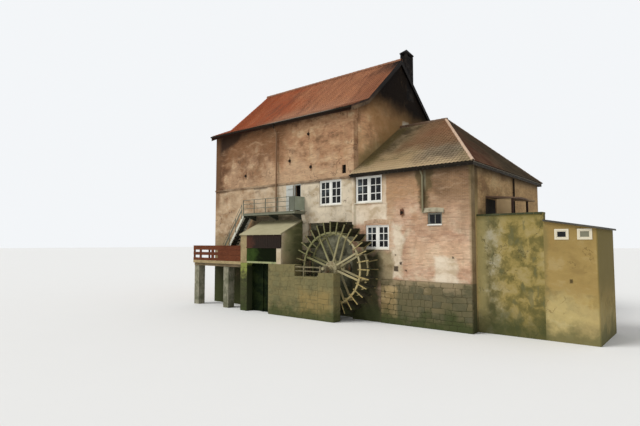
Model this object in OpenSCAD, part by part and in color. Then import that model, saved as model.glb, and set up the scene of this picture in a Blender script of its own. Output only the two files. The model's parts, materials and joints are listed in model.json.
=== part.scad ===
// Watermill: tall gabled house, hipped annex, paddle wheel on a stone pier, steel stair, sluice and tower.
// Millimetres, +Z up. The house corner beside the wheel is the working origin; placed() centres the whole.

/* [Tall house] */
// Length of the tall house along the water
house_l = 13480; // [9000:50:20000]
// Depth of the tall house from front to back
house_d = 11900; // [8000:50:15000]
// Thickness of the outer masonry walls
wall_t = 500; // [480:10:700]
// Height of the eaves edge of the tall house
eave_z = 12960; // [12000:20:14000]
// How far the eaves stand out from the wall
eave_out = 380; // [300:10:700]
// Distance from the wall to the bend of the roof
bend_in = 1500; // [900:20:2200]
// Height of the bend of the roof above the eaves edge
bend_up = 840; // [600:10:1000]
// Distance from the front wall to the ridge
ridge_y = 5750; // [5000:10:6600]
// Height of the ridge above the eaves edge
ridge_up = 4655; // [4000:5:6000]
// Vertical thickness of the tiled roof
roof_t = 260; // [180:10:320]
// How far the tiles pass the gable walls
verge_out = 120; // [60:5:200]
// Height of the band of projecting stones
course_z = 8550; // [8400:10:8700]
// Height of that band
course_h = 120; // [80:5:160]
// Projection of that band
course_out = 60; // [30:5:100]

/* [Chimney] */
// Width of the chimney along the ridge
chimney_l = 500; // [420:10:560]
// Width of the chimney across the ridge
chimney_w = 1030; // [800:10:1300]
// Distance of the chimney from the front wall face
chimney_y = 6650; // [6300:10:7400]
// Height of the chimney stack
chimney_z = 18300; // [18000:10:19500]
// Thickness of the stack walls
flue_t = 110; // [90:5:150]
// Height of the small piers under the cowl
cowl_gap = 190; // [120:10:320]
// Height of the cowl from its edge to its point
cowl_h = 470; // [250:10:600]

/* [Windows and door] */
// Depth of the window frames
frame_d = 110; // [80:5:150]
// Face width of the window frames
frame_w = 75; // [50:5:100]
// Thickness of the panes
pane_t = 24; // [12:2:40]
// Recess of the frames behind the wall face
reveal = 60; // [40:5:150]
// Width of the window of the house
house_win_w = 1800; // [1400:10:2000]
// Height of the window of the house
house_win_h = 1620; // [1200:10:1700]
// Sill height of the window of the house
house_win_z = 6930; // [6900:10:7100]
// Distance of that window from the house corner
house_win_in = 960; // [600:10:1200]
// Width of the doorway on the landing
door_w = 650; // [600:10:800]
// Height of the doorway on the landing
door_h = 1880; // [1800:10:1900]
// Distance of the doorway from the house corner
door_in = 4370; // [4200:10:4800]
// Thickness of the door leaf
leaf_t = 45; // [30:5:60]

/* [Annex] */
// Length of the annex along the water
annex_l = 7430; // [6800:50:9500]
// How far the annex front stands before the house front
annex_out = 180; // [100:10:190]
// Depth of the annex from front to back
annex_d = 11900; // [9500:50:12000]
// Height of the annex eaves edge
annex_eave_z = 8680; // [8620:10:9200]
// Height of the annex ridge above its eaves edge
annex_ridge_up = 4070; // [3400:10:4200]
// Overhang of the annex roof
annex_over = 220; // [150:10:500]
// Length of the annex ridge
annex_ridge_l = 3410; // [2600:50:4800]
// Vertical thickness of the annex roof
annex_roof_t = 200; // [150:10:260]
// Height of the stone plinth of the annex
plinth_h = 2450; // [1800:10:2900]
// Projection of the plinth
plinth_out = 90; // [50:5:110]
// Distance from the house corner to the plinth
plinth_x = 2060; // [2020:10:2400]

/* [Floors] */
// Thickness of the floors
floor_t = 200; // [150:10:250]
// Height of the upper floor
floor_z = 6500; // [6380:10:6600]
// Height of the lower annex floor
low_floor_z = 3300; // [3000:10:3800]

/* [Water wheel] */
// Height of the wheel axis over the water
wheel_z = 3020; // [3000:5:3300]
// Distance of the wheel axis from the house corner
wheel_x = 870; // [820:5:900]
// Outer radius of the two wheel rings
ring_r = 2175; // [1950:5:2300]
// Radial height of a ring
ring_h = 105; // [80:5:140]
// Thickness of a ring
ring_t = 60; // [40:5:80]
// Radius over the float tips
tip_r = 2820; // [2600:5:2840]
// Number of floats
floats = 32; // [24:1:40]
// Width of the wheel over the floats
wheel_w = 950; // [800:10:980]
// Distance from the annex front to the wheel
wheel_gap = 120; // [80:5:160]
// Thickness of a float board
board_t = 34; // [24:2:50]
// Thickness of a float arm
arm_t = 50; // [30:5:70]
// Number of spokes in each ring
spokes = 8; // [6:1:10]
// Width of a spoke
spoke_w = 110; // [80:5:140]
// Thickness of a spoke
spoke_t = 70; // [50:5:90]
// Radius of the wheel shaft
shaft_r = 150; // [110:5:170]
// Radius of the journals at the shaft ends
journal_r = 90; // [60:5:100]
// Radius of the hub flanges
hub_r = 430; // [360:10:520]
// Running clearance round the journals
journal_gap = 0.3; // [0.2:0.1:2]

/* [Wheel pier and sluice] */
// Clear width between the wheel and its pier
pier_gap = 150; // [80:5:200]
// Thickness of the wheel pier
pier_t = 650; // [500:10:800]
// Length of the wheel pier from the house corner
pier_l = 5330; // [5200:10:5600]
// Height of the wheel pier under the bearing
pier_z = 2500; // [2300:10:2560]
// Length of the raised block under the bearing
pedestal_l = 1150; // [1140:10:1400]
// Height of that block above the pier
pedestal_h = 280; // [100:10:300]
// Height of the pier beside the sluice
pier_high_z = 3200; // [3100:10:3230]
// Length of the high part of the pier
pier_high_l = 2310; // [1500:10:2400]
// Width of the sluice bay
bay_w = 2040; // [1500:10:2200]
// Width of the small pier left of the bay
bay_pier_w = 660; // [500:10:800]
// Front of the sluice structure before the house front
bay_out = 2050; // [2000:10:2300]
// Height of the lintel over the bay
lintel_h = 120; // [120:10:240]
// Height of the breast wall over the lintel
breast_h = 920; // [800:10:1100]
// Height of the timber housing over the breast wall
housing_h = 860; // [700:10:870]
// Thickness of the housing boards
housing_t = 60; // [40:5:80]
// Thickness of the canopy
canopy_t = 70; // [50:5:100]
// Clear height between the canopy and the landing brackets
canopy_drop = 30; // [10:5:60]

/* [Landing and stair] */
// Length of the landing
landing_l = 5050; // [4600:50:5600]
// Distance from the house corner to the landing
landing_in = 4020; // [3900:10:4200]
// Width of the landing
landing_w = 1000; // [850:10:1300]
// Height of the top of the landing
landing_z = 6620; // [6560:10:6700]
// Height of the landing plate
landing_h = 160; // [120:5:200]
// Height of the landing brackets
bracket_h = 330; // [280:10:400]
// Height of the railings
rail_h = 970; // [900:10:1100]
// Thickness of railing posts
post_t = 45; // [35:5:60]
// Width of the clear sheet in the front railing
sheet_w = 450; // [300:10:700]
// Number of stair treads
treads = 13; // [10:1:16]
// Going of a stair tread
going = 171; // [150:1:230]
// Thickness of a tread
tread_t = 40; // [30:2:60]

/* [Bridge piece] */
// Length of the boarded bridge piece
bridge_l = 5410; // [4500:50:5600]
// Height of the bridge boards
bridge_z = 3270; // [3150:10:3400]
// Thickness of the bridge deck
bridge_t = 400; // [250:10:450]
// Height of the red board parapet
parapet_h = 1080; // [900:10:1200]
// Thickness of the bridge posts
bridge_post = 540; // [300:10:600]

/* [Garden wall and small tower] */
// Front of the garden wall behind the house front
garden_y = 500; // [350:10:900]
// Height of the garden wall
garden_z = 6000; // [5600:10:6150]
// Thickness of the garden wall
garden_t = 400; // [300:10:500]
// Length of the garden wall
garden_l = 3200; // [2600:10:3600]
// Width of the small tower
tower_w = 2230; // [1800:10:2400]
// Depth of the small tower
tower_d = 4200; // [3000:50:5000]
// Wall thickness of the small tower
tower_t = 240; // [180:10:300]
// Height of the tower at its left side
tower_z = 5650; // [5500:10:5900]
// Fall of the tower roof to the right
tower_fall = 380; // [300:10:520]
// Overhang of the tower roof
tower_over = 130; // [80:5:200]
// Front edge of the open shelter beside the annex
shelter_y = 1800; // [1200:50:2400]
// Depth of the shelter
shelter_d = 2700; // [1800:50:3200]
// Width of the shelter from the annex wall
shelter_w = 1780; // [1400:10:2600]
// Height of the shelter roof at the annex wall
shelter_top = 7080; // [6900:10:7600]
// Fall of the shelter roof over its width
shelter_fall = 170; // [80:10:400]
// Thickness of the shelter roof
shelter_t = 80; // [50:5:140]

/* [Hidden] */
$fn = 48;

ridge_z = eave_z + ridge_up;
bend_z = eave_z + bend_up;
annex_f = -annex_out;
annex_b = annex_f + annex_d;
annex_mid = (annex_f + annex_b) / 2;
annex_ridge_z = annex_eave_z + annex_ridge_up;
verge_board_t = 35;
// how far the verge boards stand over the tiles and hang below them
verge_top = 20;
verge_drop = 330;
// ridge tiles: half width, lip height, then shoulder and crown as [across, above the ridge]
ridge_w = 190;
ridge_lip = 60;
ridge_shoulder = [110, 10];
ridge_crown = [50, 55];
// gap left where a sloping piece rests on another
seat = 0.3;
// how far a cutting solid passes the face that it cuts
cut = 10;

recess_t = 300;
// corbel under the wall beside the recess
corbel_in = 260;
corbel_pad = 40;
corbel_out = 360;
corbel_h = 560;
wheel_far = annex_f - wheel_gap;
wheel_near = wheel_far - wheel_w;
pier_in = wheel_near - pier_gap;
pier_front = pier_in - pier_t;
race_end = 1380;
lintel_d = 700;
breast_d = 450;
gate_in = 550;
gate_t = 90;
gate_post = 120;
gate_post_d = 80;
pier_left = -pier_l;
side_x = pier_left + 720;
side_t = 400;
bay_left = pier_left - bay_w;
sluice_left = bay_left - bay_pier_w;
// how far the housing, breast wall and lintel reach over the small pier
bay_lap = 60;
lintel_top = pier_high_z + lintel_h;
breast_top = lintel_top + breast_h;
housing_top = breast_top + housing_h;
recess_z = floor_z - 670;
recess_x = -3740;
shaft_in = 250;

door_l = -door_in - door_w;
door_r = -door_in;
landing_r = -landing_in;
landing_left = landing_r - landing_l;
bridge_r = sluice_left;
bridge_left = bridge_r - bridge_l;
rise = (landing_z - bridge_z) / (treads + 1);
chimney_foot = 15000;
flue_rise = 600;
cowl_out = 40;
cowl_pier = 170;
cowl_edge = 70;
pipe_r = 50;
slant_r = 46;
elbow_r = 56;
neck_angle = 40;
// distance of the pipes from the wall, of their bends from the roof and of their ends from what is below
pipe_off = 10;
clamp_off = 25;
neck_drop = 40;
pipe_end = 50;
side_pipe_foot = 300;
side_pipe_drop = 200;
house_pipe_x = -6600;
annex_pipe_x = 4750;
side_pipe_y = 6360;
house_clamps = [7320, 9300, 11300];
annex_clamp = 6900;
side_clamps = [900, 2900, 4900, 7600];

annex_r = annex_l;
garden_r = annex_r + garden_l;
tower_r = garden_r + tower_w;
gutter_w = 130;
gutter_h = 90;
gutter_t = 6;
gutter_drop = 30;

canopy_z = landing_z - landing_h - bracket_h - canopy_drop;
canopy_front = bay_out + 90;
canopy_side = 60;
x_min = -(house_l + verge_out + verge_board_t);
x_max = tower_r + tower_over;
y_min = -canopy_front;
y_max = house_d + eave_out + gutter_w;
mid_x = (x_min + x_max) / 2;
mid_y = (y_min + y_max) / 2;

// each window: left, width, sill, height
house_win = [-house_win_in - house_win_w, house_win_w, house_win_z, house_win_h];
upper_win = [240, 1890, 6910, 1600];
lower_win = [960, 1620, 4180, 1400];
small_win = [4990, 840, 5470, 690];
tower_wins = [for (x = [0.215, 0.641]) [garden_r + tower_w * x, 600, 4690, 490]];
house_anchors = [[-9920, 9530], [-5400, 10160], [-3480, 9550], [-3690, 11790]];
annex_anchor = [3450, 6230];
anchor_w = 60;
anchor_h = 520;
anchor_t = 40;
boss_r = 90;
boss_h = 70;
// iron bars at the top of the house corner: distance from the corner, height and length
front_bar = [450, 12320, 380];
gable_bar = [570, 12320, 440];
slot_win = [-910, 310, 8880, 540];
// windows wider than this have a middle post, whose half width is given here
wide_win = 1200;
post_half = 0.8 * frame_w;
small_sill = 50;
tower_win_y = garden_y - 25;
tower_roof_t = 90;
clamp_w = 40;

module placed() { translate([-mid_x, -mid_y, 0]) children(); }
module block(x0, x1, y0, y1, z0, z1) { translate([x0, y0, z0]) cube([x1 - x0, y1 - y0, z1 - z0]); }
module along_x(x0, x1) { translate([x0, 0, 0]) rotate([90, 0, 90]) linear_extrude(x1 - x0) children(); }
module along_y(y0, y1) { translate([0, y1, 0]) rotate([90, 0, 0]) linear_extrude(y1 - y0) children(); }
// roof line of the tall house, moved down by t
function house_line(t) = [[-eave_out, eave_z - t], [bend_in, bend_z - t], [ridge_y, ridge_z - t],
  [house_d - bend_in, bend_z - t], [house_d + eave_out, eave_z - t]];
module under_house_roof() {
  along_x(-house_l, 0) polygon(concat([[-eave_out, 0]], house_line(roof_t), [[house_d + eave_out, 0]]));
}
module annex_body(t, low) {
  intersection() {
    along_x(0, annex_r + annex_over)
      polygon([[annex_f - annex_over, low], [annex_f - annex_over, annex_eave_z - t],
        [annex_mid, annex_ridge_z - t], [annex_b + annex_over, annex_eave_z - t],
        [annex_b + annex_over, low]]);
    along_y(annex_f - annex_over, annex_b + annex_over)
      polygon([[0, low], [0, annex_ridge_z - t], [annex_ridge_l, annex_ridge_z - t],
        [annex_r + annex_over, annex_eave_z - t], [annex_r + annex_over, low]]);
  }
}

module win_cut(w, y0, y1) { block(w[0], w[0] + w[1], y0, y1, w[2], w[2] + w[3]); }

module house_front_wall_left() {
  color("tan") placed() {
    intersection() {
      block(-house_l, door_l, 0, wall_t, 0, ridge_z);
      under_house_roof();
    }
    block(-house_l, door_l, -course_out, 0, course_z, course_z + course_h);
  }
}

module house_front_wall_right() {
  color("tan") placed() {
    difference() {
      intersection() {
        block(door_r, 0, 0, wall_t, 0, ridge_z);
        under_house_roof();
      }
      win_cut(house_win, -cut, wall_t + cut);
      win_cut(slot_win, -cut, wall_t + cut);
      block(recess_x, cut, -cut, wall_t + cut, -cut, recess_z);
    }
    block(door_r, 0, -course_out, 0, course_z, course_z + course_h);
    along_x(recess_x - corbel_in, recess_x + corbel_pad)
      polygon([for (a = [0:15:90]) [-corbel_out * sin(a), recess_z + corbel_h * (1 - cos(a))],
        [0, recess_z + corbel_h]]);
  }
}

// thin wall behind the wheel, with the hole for its shaft
module house_recess_wall() {
  color("tan") placed() difference() {
    block(recess_x, 0, recess_t, wall_t, 0, recess_z);
    translate([-wheel_x, recess_t - cut, wheel_z]) rotate([-90, 0, 0]) cylinder(r = shaft_in, h = wall_t);
  }
}

module house_door_bay() {
  color("tan") placed() {
    block(door_l, door_r, 0, wall_t, 0, landing_z);
    intersection() {
      block(door_l, door_r, 0, wall_t, landing_z + door_h, ridge_z);
      under_house_roof();
    }
    block(door_l, door_r, -course_out, 0, course_z, course_z + course_h);
  }
}

module house_back_wall() {
  color("tan") placed() difference() {
    intersection() {
      block(-house_l, 0, house_d - wall_t, house_d, 0, ridge_z);
      under_house_roof();
    }
    win_cut(house_win, house_d - wall_t - cut, house_d + cut);
  }
}

module gable(x0, x1) {
  intersection() {
    block(x0, x1, wall_t, house_d - wall_t, 0, ridge_z);
    under_house_roof();
  }
}

module house_left_gable() {
  color("tan") placed() gable(-house_l, -house_l + wall_t);
}

module chimney_box() {
  block(-chimney_l, 0, chimney_y, chimney_y + chimney_w, chimney_foot, chimney_z);
}

// slot in the gable for the chimney, through its whole thickness
module chimney_slot() {
  block(-2 * wall_t, cut, chimney_y, chimney_y + chimney_w, chimney_foot, chimney_z);
}

module house_right_gable() {
  color("tan") placed() difference() {
    gable(-wall_t, 0);
    chimney_slot();
  }
}

module house_slope() {
  difference() {
    along_x(-house_l - verge_out, verge_out)
      polygon(concat(house_line(0), [for (i = [4:-1:0]) house_line(roof_t)[i]]));
    chimney_box();
  }
}

module house_roof_front() {
  color("firebrick") placed() intersection() {
    house_slope();
    block(-2 * house_l, house_l, -house_d, ridge_y, 0, 2 * ridge_z);
  }
}

module house_roof_back() {
  color("firebrick") placed() intersection() {
    house_slope();
    block(-2 * house_l, house_l, ridge_y, 2 * house_d, 0, 2 * ridge_z);
  }
}

module house_ridge() {
  fall_f = ridge_w * (ridge_up - bend_up) / (ridge_y - bend_in);
  fall_b = ridge_w * (ridge_up - bend_up) / (house_d - bend_in - ridge_y);
  color("brown") placed() difference() {
    translate([0, ridge_y, ridge_z + seat]) along_x(-house_l - verge_out, verge_out)
      polygon([[0, 0], [-ridge_w, -fall_f], [-ridge_w, ridge_lip - fall_f],
        [-ridge_shoulder[0], ridge_shoulder[1]], [-ridge_crown[0], ridge_crown[1]],
        ridge_crown, ridge_shoulder, [ridge_w, ridge_lip - fall_b], [ridge_w, -fall_b]]);
    chimney_box();
  }
}

module verge_boards() {
  color("dimgray") placed() for (x = [-house_l - verge_out - verge_board_t, verge_out])
    along_x(x, x + verge_board_t)
      polygon(concat(house_line(-verge_top), [for (i = [4:-1:0]) house_line(verge_drop)[i]]));
}

module gutter(x0, x1, y, z) {
  w = gutter_w;
  h = gutter_h;
  t = gutter_t;
  translate([0, y, z]) along_x(x0, x1)
    polygon([[0, 0], [0, h], [t, h], [t, t], [w - t, t], [w - t, h], [w, h], [w, 0]]);
}

module gutters() {
  gz = eave_z - gutter_drop - gutter_h;
  az = annex_eave_z - gutter_drop - gutter_h;
  color("slategray") placed() {
    gutter(-house_l - verge_out, verge_out, -eave_out - gutter_w, gz);
    gutter(-house_l - verge_out, verge_out, house_d + eave_out, gz);
    gutter(0, annex_r + annex_over, annex_f - annex_over - gutter_w, az);
  }
}

// pipe down from a gutter at y0, slanting back to the wall below the roof, then upright to z_end
module swan_neck(x, y0, z0, z_neck, y1, z_end) {
  zb = z_neck - (y1 - y0) / tan(neck_angle);
  translate([x, y0, z_neck]) cylinder(r = pipe_r, h = z0 - z_neck);
  translate([x, y0, z_neck]) sphere(r = elbow_r);
  translate([x, y1, zb]) rotate([neck_angle, 0, 0])
    cylinder(r = slant_r, h = (y1 - y0) / sin(neck_angle));
  translate([x, y1, zb]) sphere(r = elbow_r);
  translate([x, y1, z_end]) cylinder(r = pipe_r, h = zb - z_end);
}

module clamp_x(x, y_wall, y_pipe, z) {
  block(x - clamp_w / 2, x + clamp_w / 2, y_pipe, y_wall, z, z + clamp_w);
}

module downpipes() {
  house_off = course_out + pipe_r + pipe_off;
  annex_off = pipe_r + clamp_off;
  side_x = annex_r + annex_off;
  color("slategray") placed() {
    swan_neck(house_pipe_x, -eave_out - gutter_w / 2, eave_z - gutter_drop - gutter_h,
      eave_z - roof_t - neck_drop, -house_off, landing_z + pipe_end);
    for (z = house_clamps) clamp_x(house_pipe_x, 0, -house_off, z);
    swan_neck(annex_pipe_x, annex_f - annex_over - gutter_w / 2, annex_eave_z - gutter_drop - gutter_h,
      annex_eave_z - annex_roof_t - neck_drop, annex_f - annex_off, small_win[2] + small_win[3] + neck_drop);
    clamp_x(annex_pipe_x, annex_f, annex_f - annex_off, annex_clamp);
    translate([side_x, side_pipe_y, side_pipe_foot])
      cylinder(r = pipe_r, h = annex_eave_z - side_pipe_drop - side_pipe_foot);
    for (z = side_clamps)
      block(annex_r, side_x, side_pipe_y - clamp_w / 2, side_pipe_y + clamp_w / 2, z, z + clamp_w);
  }
}

module anchor(x, y, z) {
  translate([x, y, z]) {
    block(-anchor_w / 2, anchor_w / 2, -anchor_t, 0, -anchor_h / 2, anchor_h / 2);
    rotate([90, 0, 0]) cylinder(r = boss_r, h = boss_h, $fn = 24);
  }
}

module wall_anchors() {
  color("black") placed() {
    for (p = house_anchors) anchor(p[0], 0, p[1]);
    anchor(annex_anchor[0], annex_f, annex_anchor[1]);
    block(-front_bar[0] - anchor_w, -front_bar[0], -anchor_t, 0, front_bar[1], front_bar[1] + front_bar[2]);
    block(0, anchor_t, gable_bar[0], gable_bar[0] + anchor_w, gable_bar[1], gable_bar[1] + gable_bar[2]);
  }
}

module floors() {
  color("burlywood") placed() {
    block(-house_l + wall_t, -wall_t, wall_t, house_d - wall_t, floor_z - floor_t, floor_z);
    for (z = [low_floor_z, floor_z])
      block(0, annex_r - wall_t, annex_f + wall_t, annex_b - wall_t, z - floor_t, z);
  }
}

module chimney_stack() {
  color("dimgray") placed() difference() {
    chimney_box();
    block(-chimney_l + flue_t, -flue_t, chimney_y + flue_t, chimney_y + chimney_w - flue_t,
      chimney_foot + flue_rise, chimney_z + cut);
  }
}

module chimney_cap() {
  p = cowl_pier;
  z = chimney_z + cowl_gap;
  l = chimney_l / 2 + cowl_out;
  w = chimney_w / 2 + cowl_out;
  rim = [[-l, -w], [l, -w], [l, w], [-l, w]];
  color("dimgray") placed() {
    for (x = [-chimney_l, -p], y = [chimney_y, chimney_y + chimney_w - p])
      block(x, x + p, y, y + p, chimney_z, z);
    translate([-chimney_l / 2, chimney_y + chimney_w / 2, z])
      polyhedron(points = concat([for (c = rim) [c[0], c[1], 0]], [for (c = rim) [c[0], c[1], cowl_edge]],
          [[0, 0, cowl_h]]),
        faces = [[0, 1, 2, 3], [0, 4, 5, 1], [1, 5, 6, 2], [2, 6, 7, 3], [3, 7, 4, 0],
          [4, 8, 5], [5, 8, 6], [6, 8, 7], [7, 8, 4]]);
  }
}

// frame of a window in a wall along x, front of the frame at y, with a middle post where wide
module win_frame(w, y) {
  f = frame_w;
  c = w[0] + w[1] / 2;
  difference() {
    block(w[0], w[0] + w[1], y, y + frame_d, w[2], w[2] + w[3]);
    block(w[0] + f, w[0] + w[1] - f, y - cut, y + frame_d + cut, w[2] + f, w[2] + w[3] - f);
  }
  if (w[1] > wide_win)
    block(c - post_half, c + post_half, y, y + frame_d, w[2] + f, w[2] + w[3] - f);
}

module win_panes(w, y) {
  f = frame_w;
  c = w[0] + w[1] / 2;
  m = w[1] > wide_win ? post_half : 0;
  y0 = y + (frame_d - pane_t) / 2;
  if (m > 0) {
    block(w[0] + f, c - m, y0, y0 + pane_t, w[2] + f, w[2] + w[3] - f);
    block(c + m, w[0] + w[1] - f, y0, y0 + pane_t, w[2] + f, w[2] + w[3] - f);
  } else
    block(w[0] + f, w[0] + w[1] - f, y0, y0 + pane_t, w[2] + f, w[2] + w[3] - f);
}

module window_frames() {
  color("white") placed() {
    win_frame(house_win, reveal);
    win_frame(house_win, house_d - reveal - frame_d);
    for (w = [upper_win, lower_win]) {
      win_frame(w, annex_f + reveal);
      win_frame(w, annex_b - reveal - frame_d);
    }
    win_frame(small_win, annex_f + reveal);
    block(small_win[0], small_win[0] + small_win[1], annex_f - small_sill, annex_f + reveal,
      small_win[2], small_win[2] + small_sill);
    for (w = tower_wins) win_frame(w, tower_win_y);
  }
}

module window_glass() {
  color("lightblue") placed() {
    win_panes(house_win, reveal);
    win_panes(house_win, house_d - reveal - frame_d);
    for (w = [upper_win, lower_win]) {
      win_panes(w, annex_f + reveal);
      win_panes(w, annex_b - reveal - frame_d);
    }
    win_panes(small_win, annex_f + reveal);
    for (w = tower_wins) win_panes(w, tower_win_y);
  }
}

// frame in the doorway, and the open leaf that lies flat on the wall left of it on two hinges
door_frame_w = 60;
door_frame_y = [30, 130];
leaf_off = 20;
leaf_in = 15;
hinge = [50, 120];
hinge_z = [300, 1530];
module landing_door() {
  f = door_frame_w;
  color("lightsteelblue") placed() {
    difference() {
      block(door_l, door_r, door_frame_y[0], door_frame_y[1], landing_z, landing_z + door_h);
      block(door_l + f, door_r - f, door_frame_y[0] - cut, door_frame_y[1] + cut, landing_z - cut,
        landing_z + door_h - f);
    }
    block(door_l - door_w, door_l - leaf_in, -leaf_off - leaf_t, -leaf_off, landing_z + leaf_off,
      landing_z + door_h - 2 * leaf_in);
    for (z = hinge_z)
      block(door_l - 2 * leaf_in - hinge[0], door_l - 2 * leaf_in, -leaf_off, 0, landing_z + z,
        landing_z + z + hinge[1]);
  }
}

module landing_floor() {
  color("darkseagreen") placed()
    block(landing_left, landing_r, -landing_w, 0, landing_z - landing_h, landing_z);
}

bracket_t = 80;
bracket_in = 300;
bracket_tip = 150;
bracket_nose = 80;
bracket_root = 120;
module landing_brackets() {
  z = landing_z - landing_h;
  color("slategray") placed()
    for (x = [landing_left + bracket_in, (landing_left + landing_r) / 2, landing_r - bracket_in])
      along_x(x - bracket_t / 2, x + bracket_t / 2)
        polygon([[0, z], [bracket_tip - landing_w, z], [bracket_tip - landing_w, z - bracket_nose],
          [-bracket_root, z - bracket_h], [0, z - bracket_h]]);
}

// railings: bars set into the posts by bar_in, a clear sheet between sheet_foot and sheet_top
bar_h = 35;
bar_in = 5;
sheet_t = 10;
sheet_in = 15;
sheet_foot = 60;
sheet_top = rail_h - 40;
wall_off = 20;
rail_levels = [rail_h - 40, rail_h * 2 / 3, rail_h / 3];
module landing_railing() {
  y = -landing_w;
  z = landing_z;
  bay = (landing_l - sheet_w - post_t) / 4;
  color("slategray") placed() {
    for (x = [for (i = [0:4]) landing_left + bay * i, landing_r - post_t])
      block(x, x + post_t, y, y + post_t, z, z + rail_h);
    for (k = rail_levels)
      block(landing_left, landing_r, y + bar_in, y + post_t - bar_in, z + k, z + k + bar_h);
    block(landing_r - sheet_w, landing_r - post_t, y + sheet_in, y + sheet_in + sheet_t,
      z + sheet_foot, z + sheet_top);
  }
}

module landing_end_railing() {
  x = landing_r - post_t;
  y = -landing_w + post_t;
  z = landing_z;
  color("slategray") placed() {
    block(x, landing_r, -post_t - wall_off, -wall_off, z, z + rail_h);
    for (k = rail_levels)
      block(x + bar_in, landing_r - bar_in, y, -post_t, z + k, z + k + bar_h);
    block(landing_r - sheet_in - sheet_t, landing_r - sheet_in, y, -post_t - wall_off,
      z + sheet_foot, z + sheet_top);
  }
}

stair_run = going * (treads + 1);
stair_y0 = -landing_w + 60;
stair_y1 = -150;
stringer_t = 30;
stringer_h = 300;
stringer_foot = 90;
module stair_stringers() {
  color("darkseagreen") placed() for (y = [stair_y0, stair_y1 - stringer_t])
    along_y(y, y + stringer_t)
      polygon([[landing_left, landing_z - stringer_h], [landing_left, landing_z],
        [landing_left - stair_run + 2 * stringer_t, bridge_z + stringer_foot],
        [landing_left - stair_run, bridge_z],
        [landing_left - stair_run + stringer_h * going / rise, bridge_z]]);
}

module stair_treads() {
  color("slategray") placed() for (i = [1:treads]) {
    x = landing_left - going * i;
    z = landing_z - rise * i;
    block(x, x + going, stair_y0 + stringer_t, stair_y1 - stringer_t, z - tread_t, z);
  }
}

// posts of the stair railing, and its board and hand rail as [height over the treads, height]
stair_post = 40;
stair_post_z = [-120, 900];
stair_rails = [[450, 180], [880, 40]];
module stair_railing() {
  xa = landing_left - going;
  xb = landing_left - stair_run + going;
  za = landing_z - rise;
  zb = bridge_z + rise;
  h = stair_post / 2;
  color("slategray") placed() {
    for (i = [0:3]) {
      x = xa + (xb - xa) * i / 3;
      z = za + (zb - za) * i / 3;
      block(x - h, x + h, stair_y0 - stringer_t, stair_y0, z + stair_post_z[0], z + stair_post_z[1]);
    }
    for (k = stair_rails)
      along_y(stair_y0 - stringer_t + bar_in, stair_y0 - bar_in)
        polygon([[xa + h, za + k[0]], [xa + h, za + k[0] + k[1]], [xb - h, zb + k[0] + k[1]],
          [xb - h, zb + k[0]]]);
  }
}

module bridge_deck() {
  color("saddlebrown") placed()
    block(bridge_left, bridge_r, -bay_out, 0, bridge_z - bridge_t, bridge_z);
}

// the second post stands at this share of the free length
post_share = 0.7;
post_in = 150;
module bridge_posts() {
  p = bridge_post;
  y = -bay_out + post_in;
  color("gainsboro") placed() for (x = [bridge_left, bridge_left + (bridge_l - p) * post_share])
    block(x, x + p, y, y + p, 0, bridge_z - bridge_t);
}

parapet_t = 50;
parapet_post = 100;
parapet_lip = 40;
module bridge_parapet() {
  y = -bay_out + parapet_t;
  color("brown") placed() {
    block(bridge_left, bridge_r, -bay_out, y, bridge_z, bridge_z + parapet_h);
    for (i = [0:3]) {
      x = bridge_left + (bridge_l - parapet_post) * i / 3;
      block(x, x + parapet_post, y, y + parapet_post, bridge_z, bridge_z + parapet_h - parapet_lip);
    }
  }
}

module sluice_pier() {
  color("darkkhaki") placed() {
    block(sluice_left, bay_left, -bay_out, 0, 0, pier_high_z);
    block(sluice_left, bay_left - bay_lap, -bay_out, -bay_out + breast_d, pier_high_z, housing_top);
  }
}

module sluice_gate() {
  y = -bay_out + gate_in;
  color("darkslategray") placed() {
    block(bay_left, pier_left, y, y + gate_t, 0, pier_high_z);
    for (x = [bay_left, (bay_left + pier_left - gate_post) / 2, pier_left - gate_post])
      block(x, x + gate_post, y - gate_post_d, y, 0, pier_high_z);
  }
}

module sluice_lintel() {
  color("beige") placed()
    block(bay_left - bay_lap, side_x, -bay_out, -bay_out + lintel_d, pier_high_z, lintel_top);
}

module breast_wall() {
  color("olivedrab") placed()
    block(bay_left - bay_lap, side_x, -bay_out, -bay_out + breast_d, lintel_top, breast_top);
}

module timber_housing() {
  t = housing_t;
  color("sienna") placed() {
    block(bay_left - bay_lap, side_x + side_t, -bay_out, -bay_out + t, breast_top, housing_top);
    along_x(bay_left - bay_lap, bay_left)
      polygon([[-bay_out + t, breast_top], [-bay_out + t, canopy_at(-bay_out + t)], [0, canopy_at(0)],
        [0, pier_high_z], [-bay_out + lintel_d, pier_high_z], [-bay_out + lintel_d, lintel_top],
        [-bay_out + breast_d, lintel_top], [-bay_out + breast_d, breast_top]]);
  }
}

// underside of the canopy at y
function canopy_at(y) = housing_top + (canopy_z - canopy_t - housing_top) * (y + bay_out) / bay_out;

module housing_side_wall() {
  color("darkolivegreen") placed() along_x(side_x, side_x + side_t)
    polygon([[-bay_out, pier_high_z], [-bay_out, breast_top], [-bay_out + housing_t, breast_top],
      [-bay_out + housing_t, canopy_at(-bay_out + housing_t)], [0, canopy_at(0)], [0, pier_high_z]]);
}

module canopy_roof() {
  y = -canopy_front;
  color("darkkhaki") placed() translate([0, 0, seat])
    along_x(sluice_left - canopy_side, side_x + side_t + canopy_side)
      polygon([[y, canopy_at(y)], [y, canopy_at(y) + canopy_t], [0, canopy_at(0) + canopy_t],
        [0, canopy_at(0)]]);
}

module wheel_pier() {
  color("darkkhaki") placed() {
    block(pier_left, 0, pier_front, pier_in, 0, pier_z);
    block(pier_left, pier_left + pier_high_l, pier_front, pier_in, pier_z, pier_high_z);
    block(-pedestal_l, 0, pier_front, pier_in, pier_z, pier_z + pedestal_h);
  }
}

module race_end_wall() {
  color("darkolivegreen") placed()
    block(pier_left, pier_left + race_end, pier_in, 0, 0, pier_high_z);
}

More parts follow.
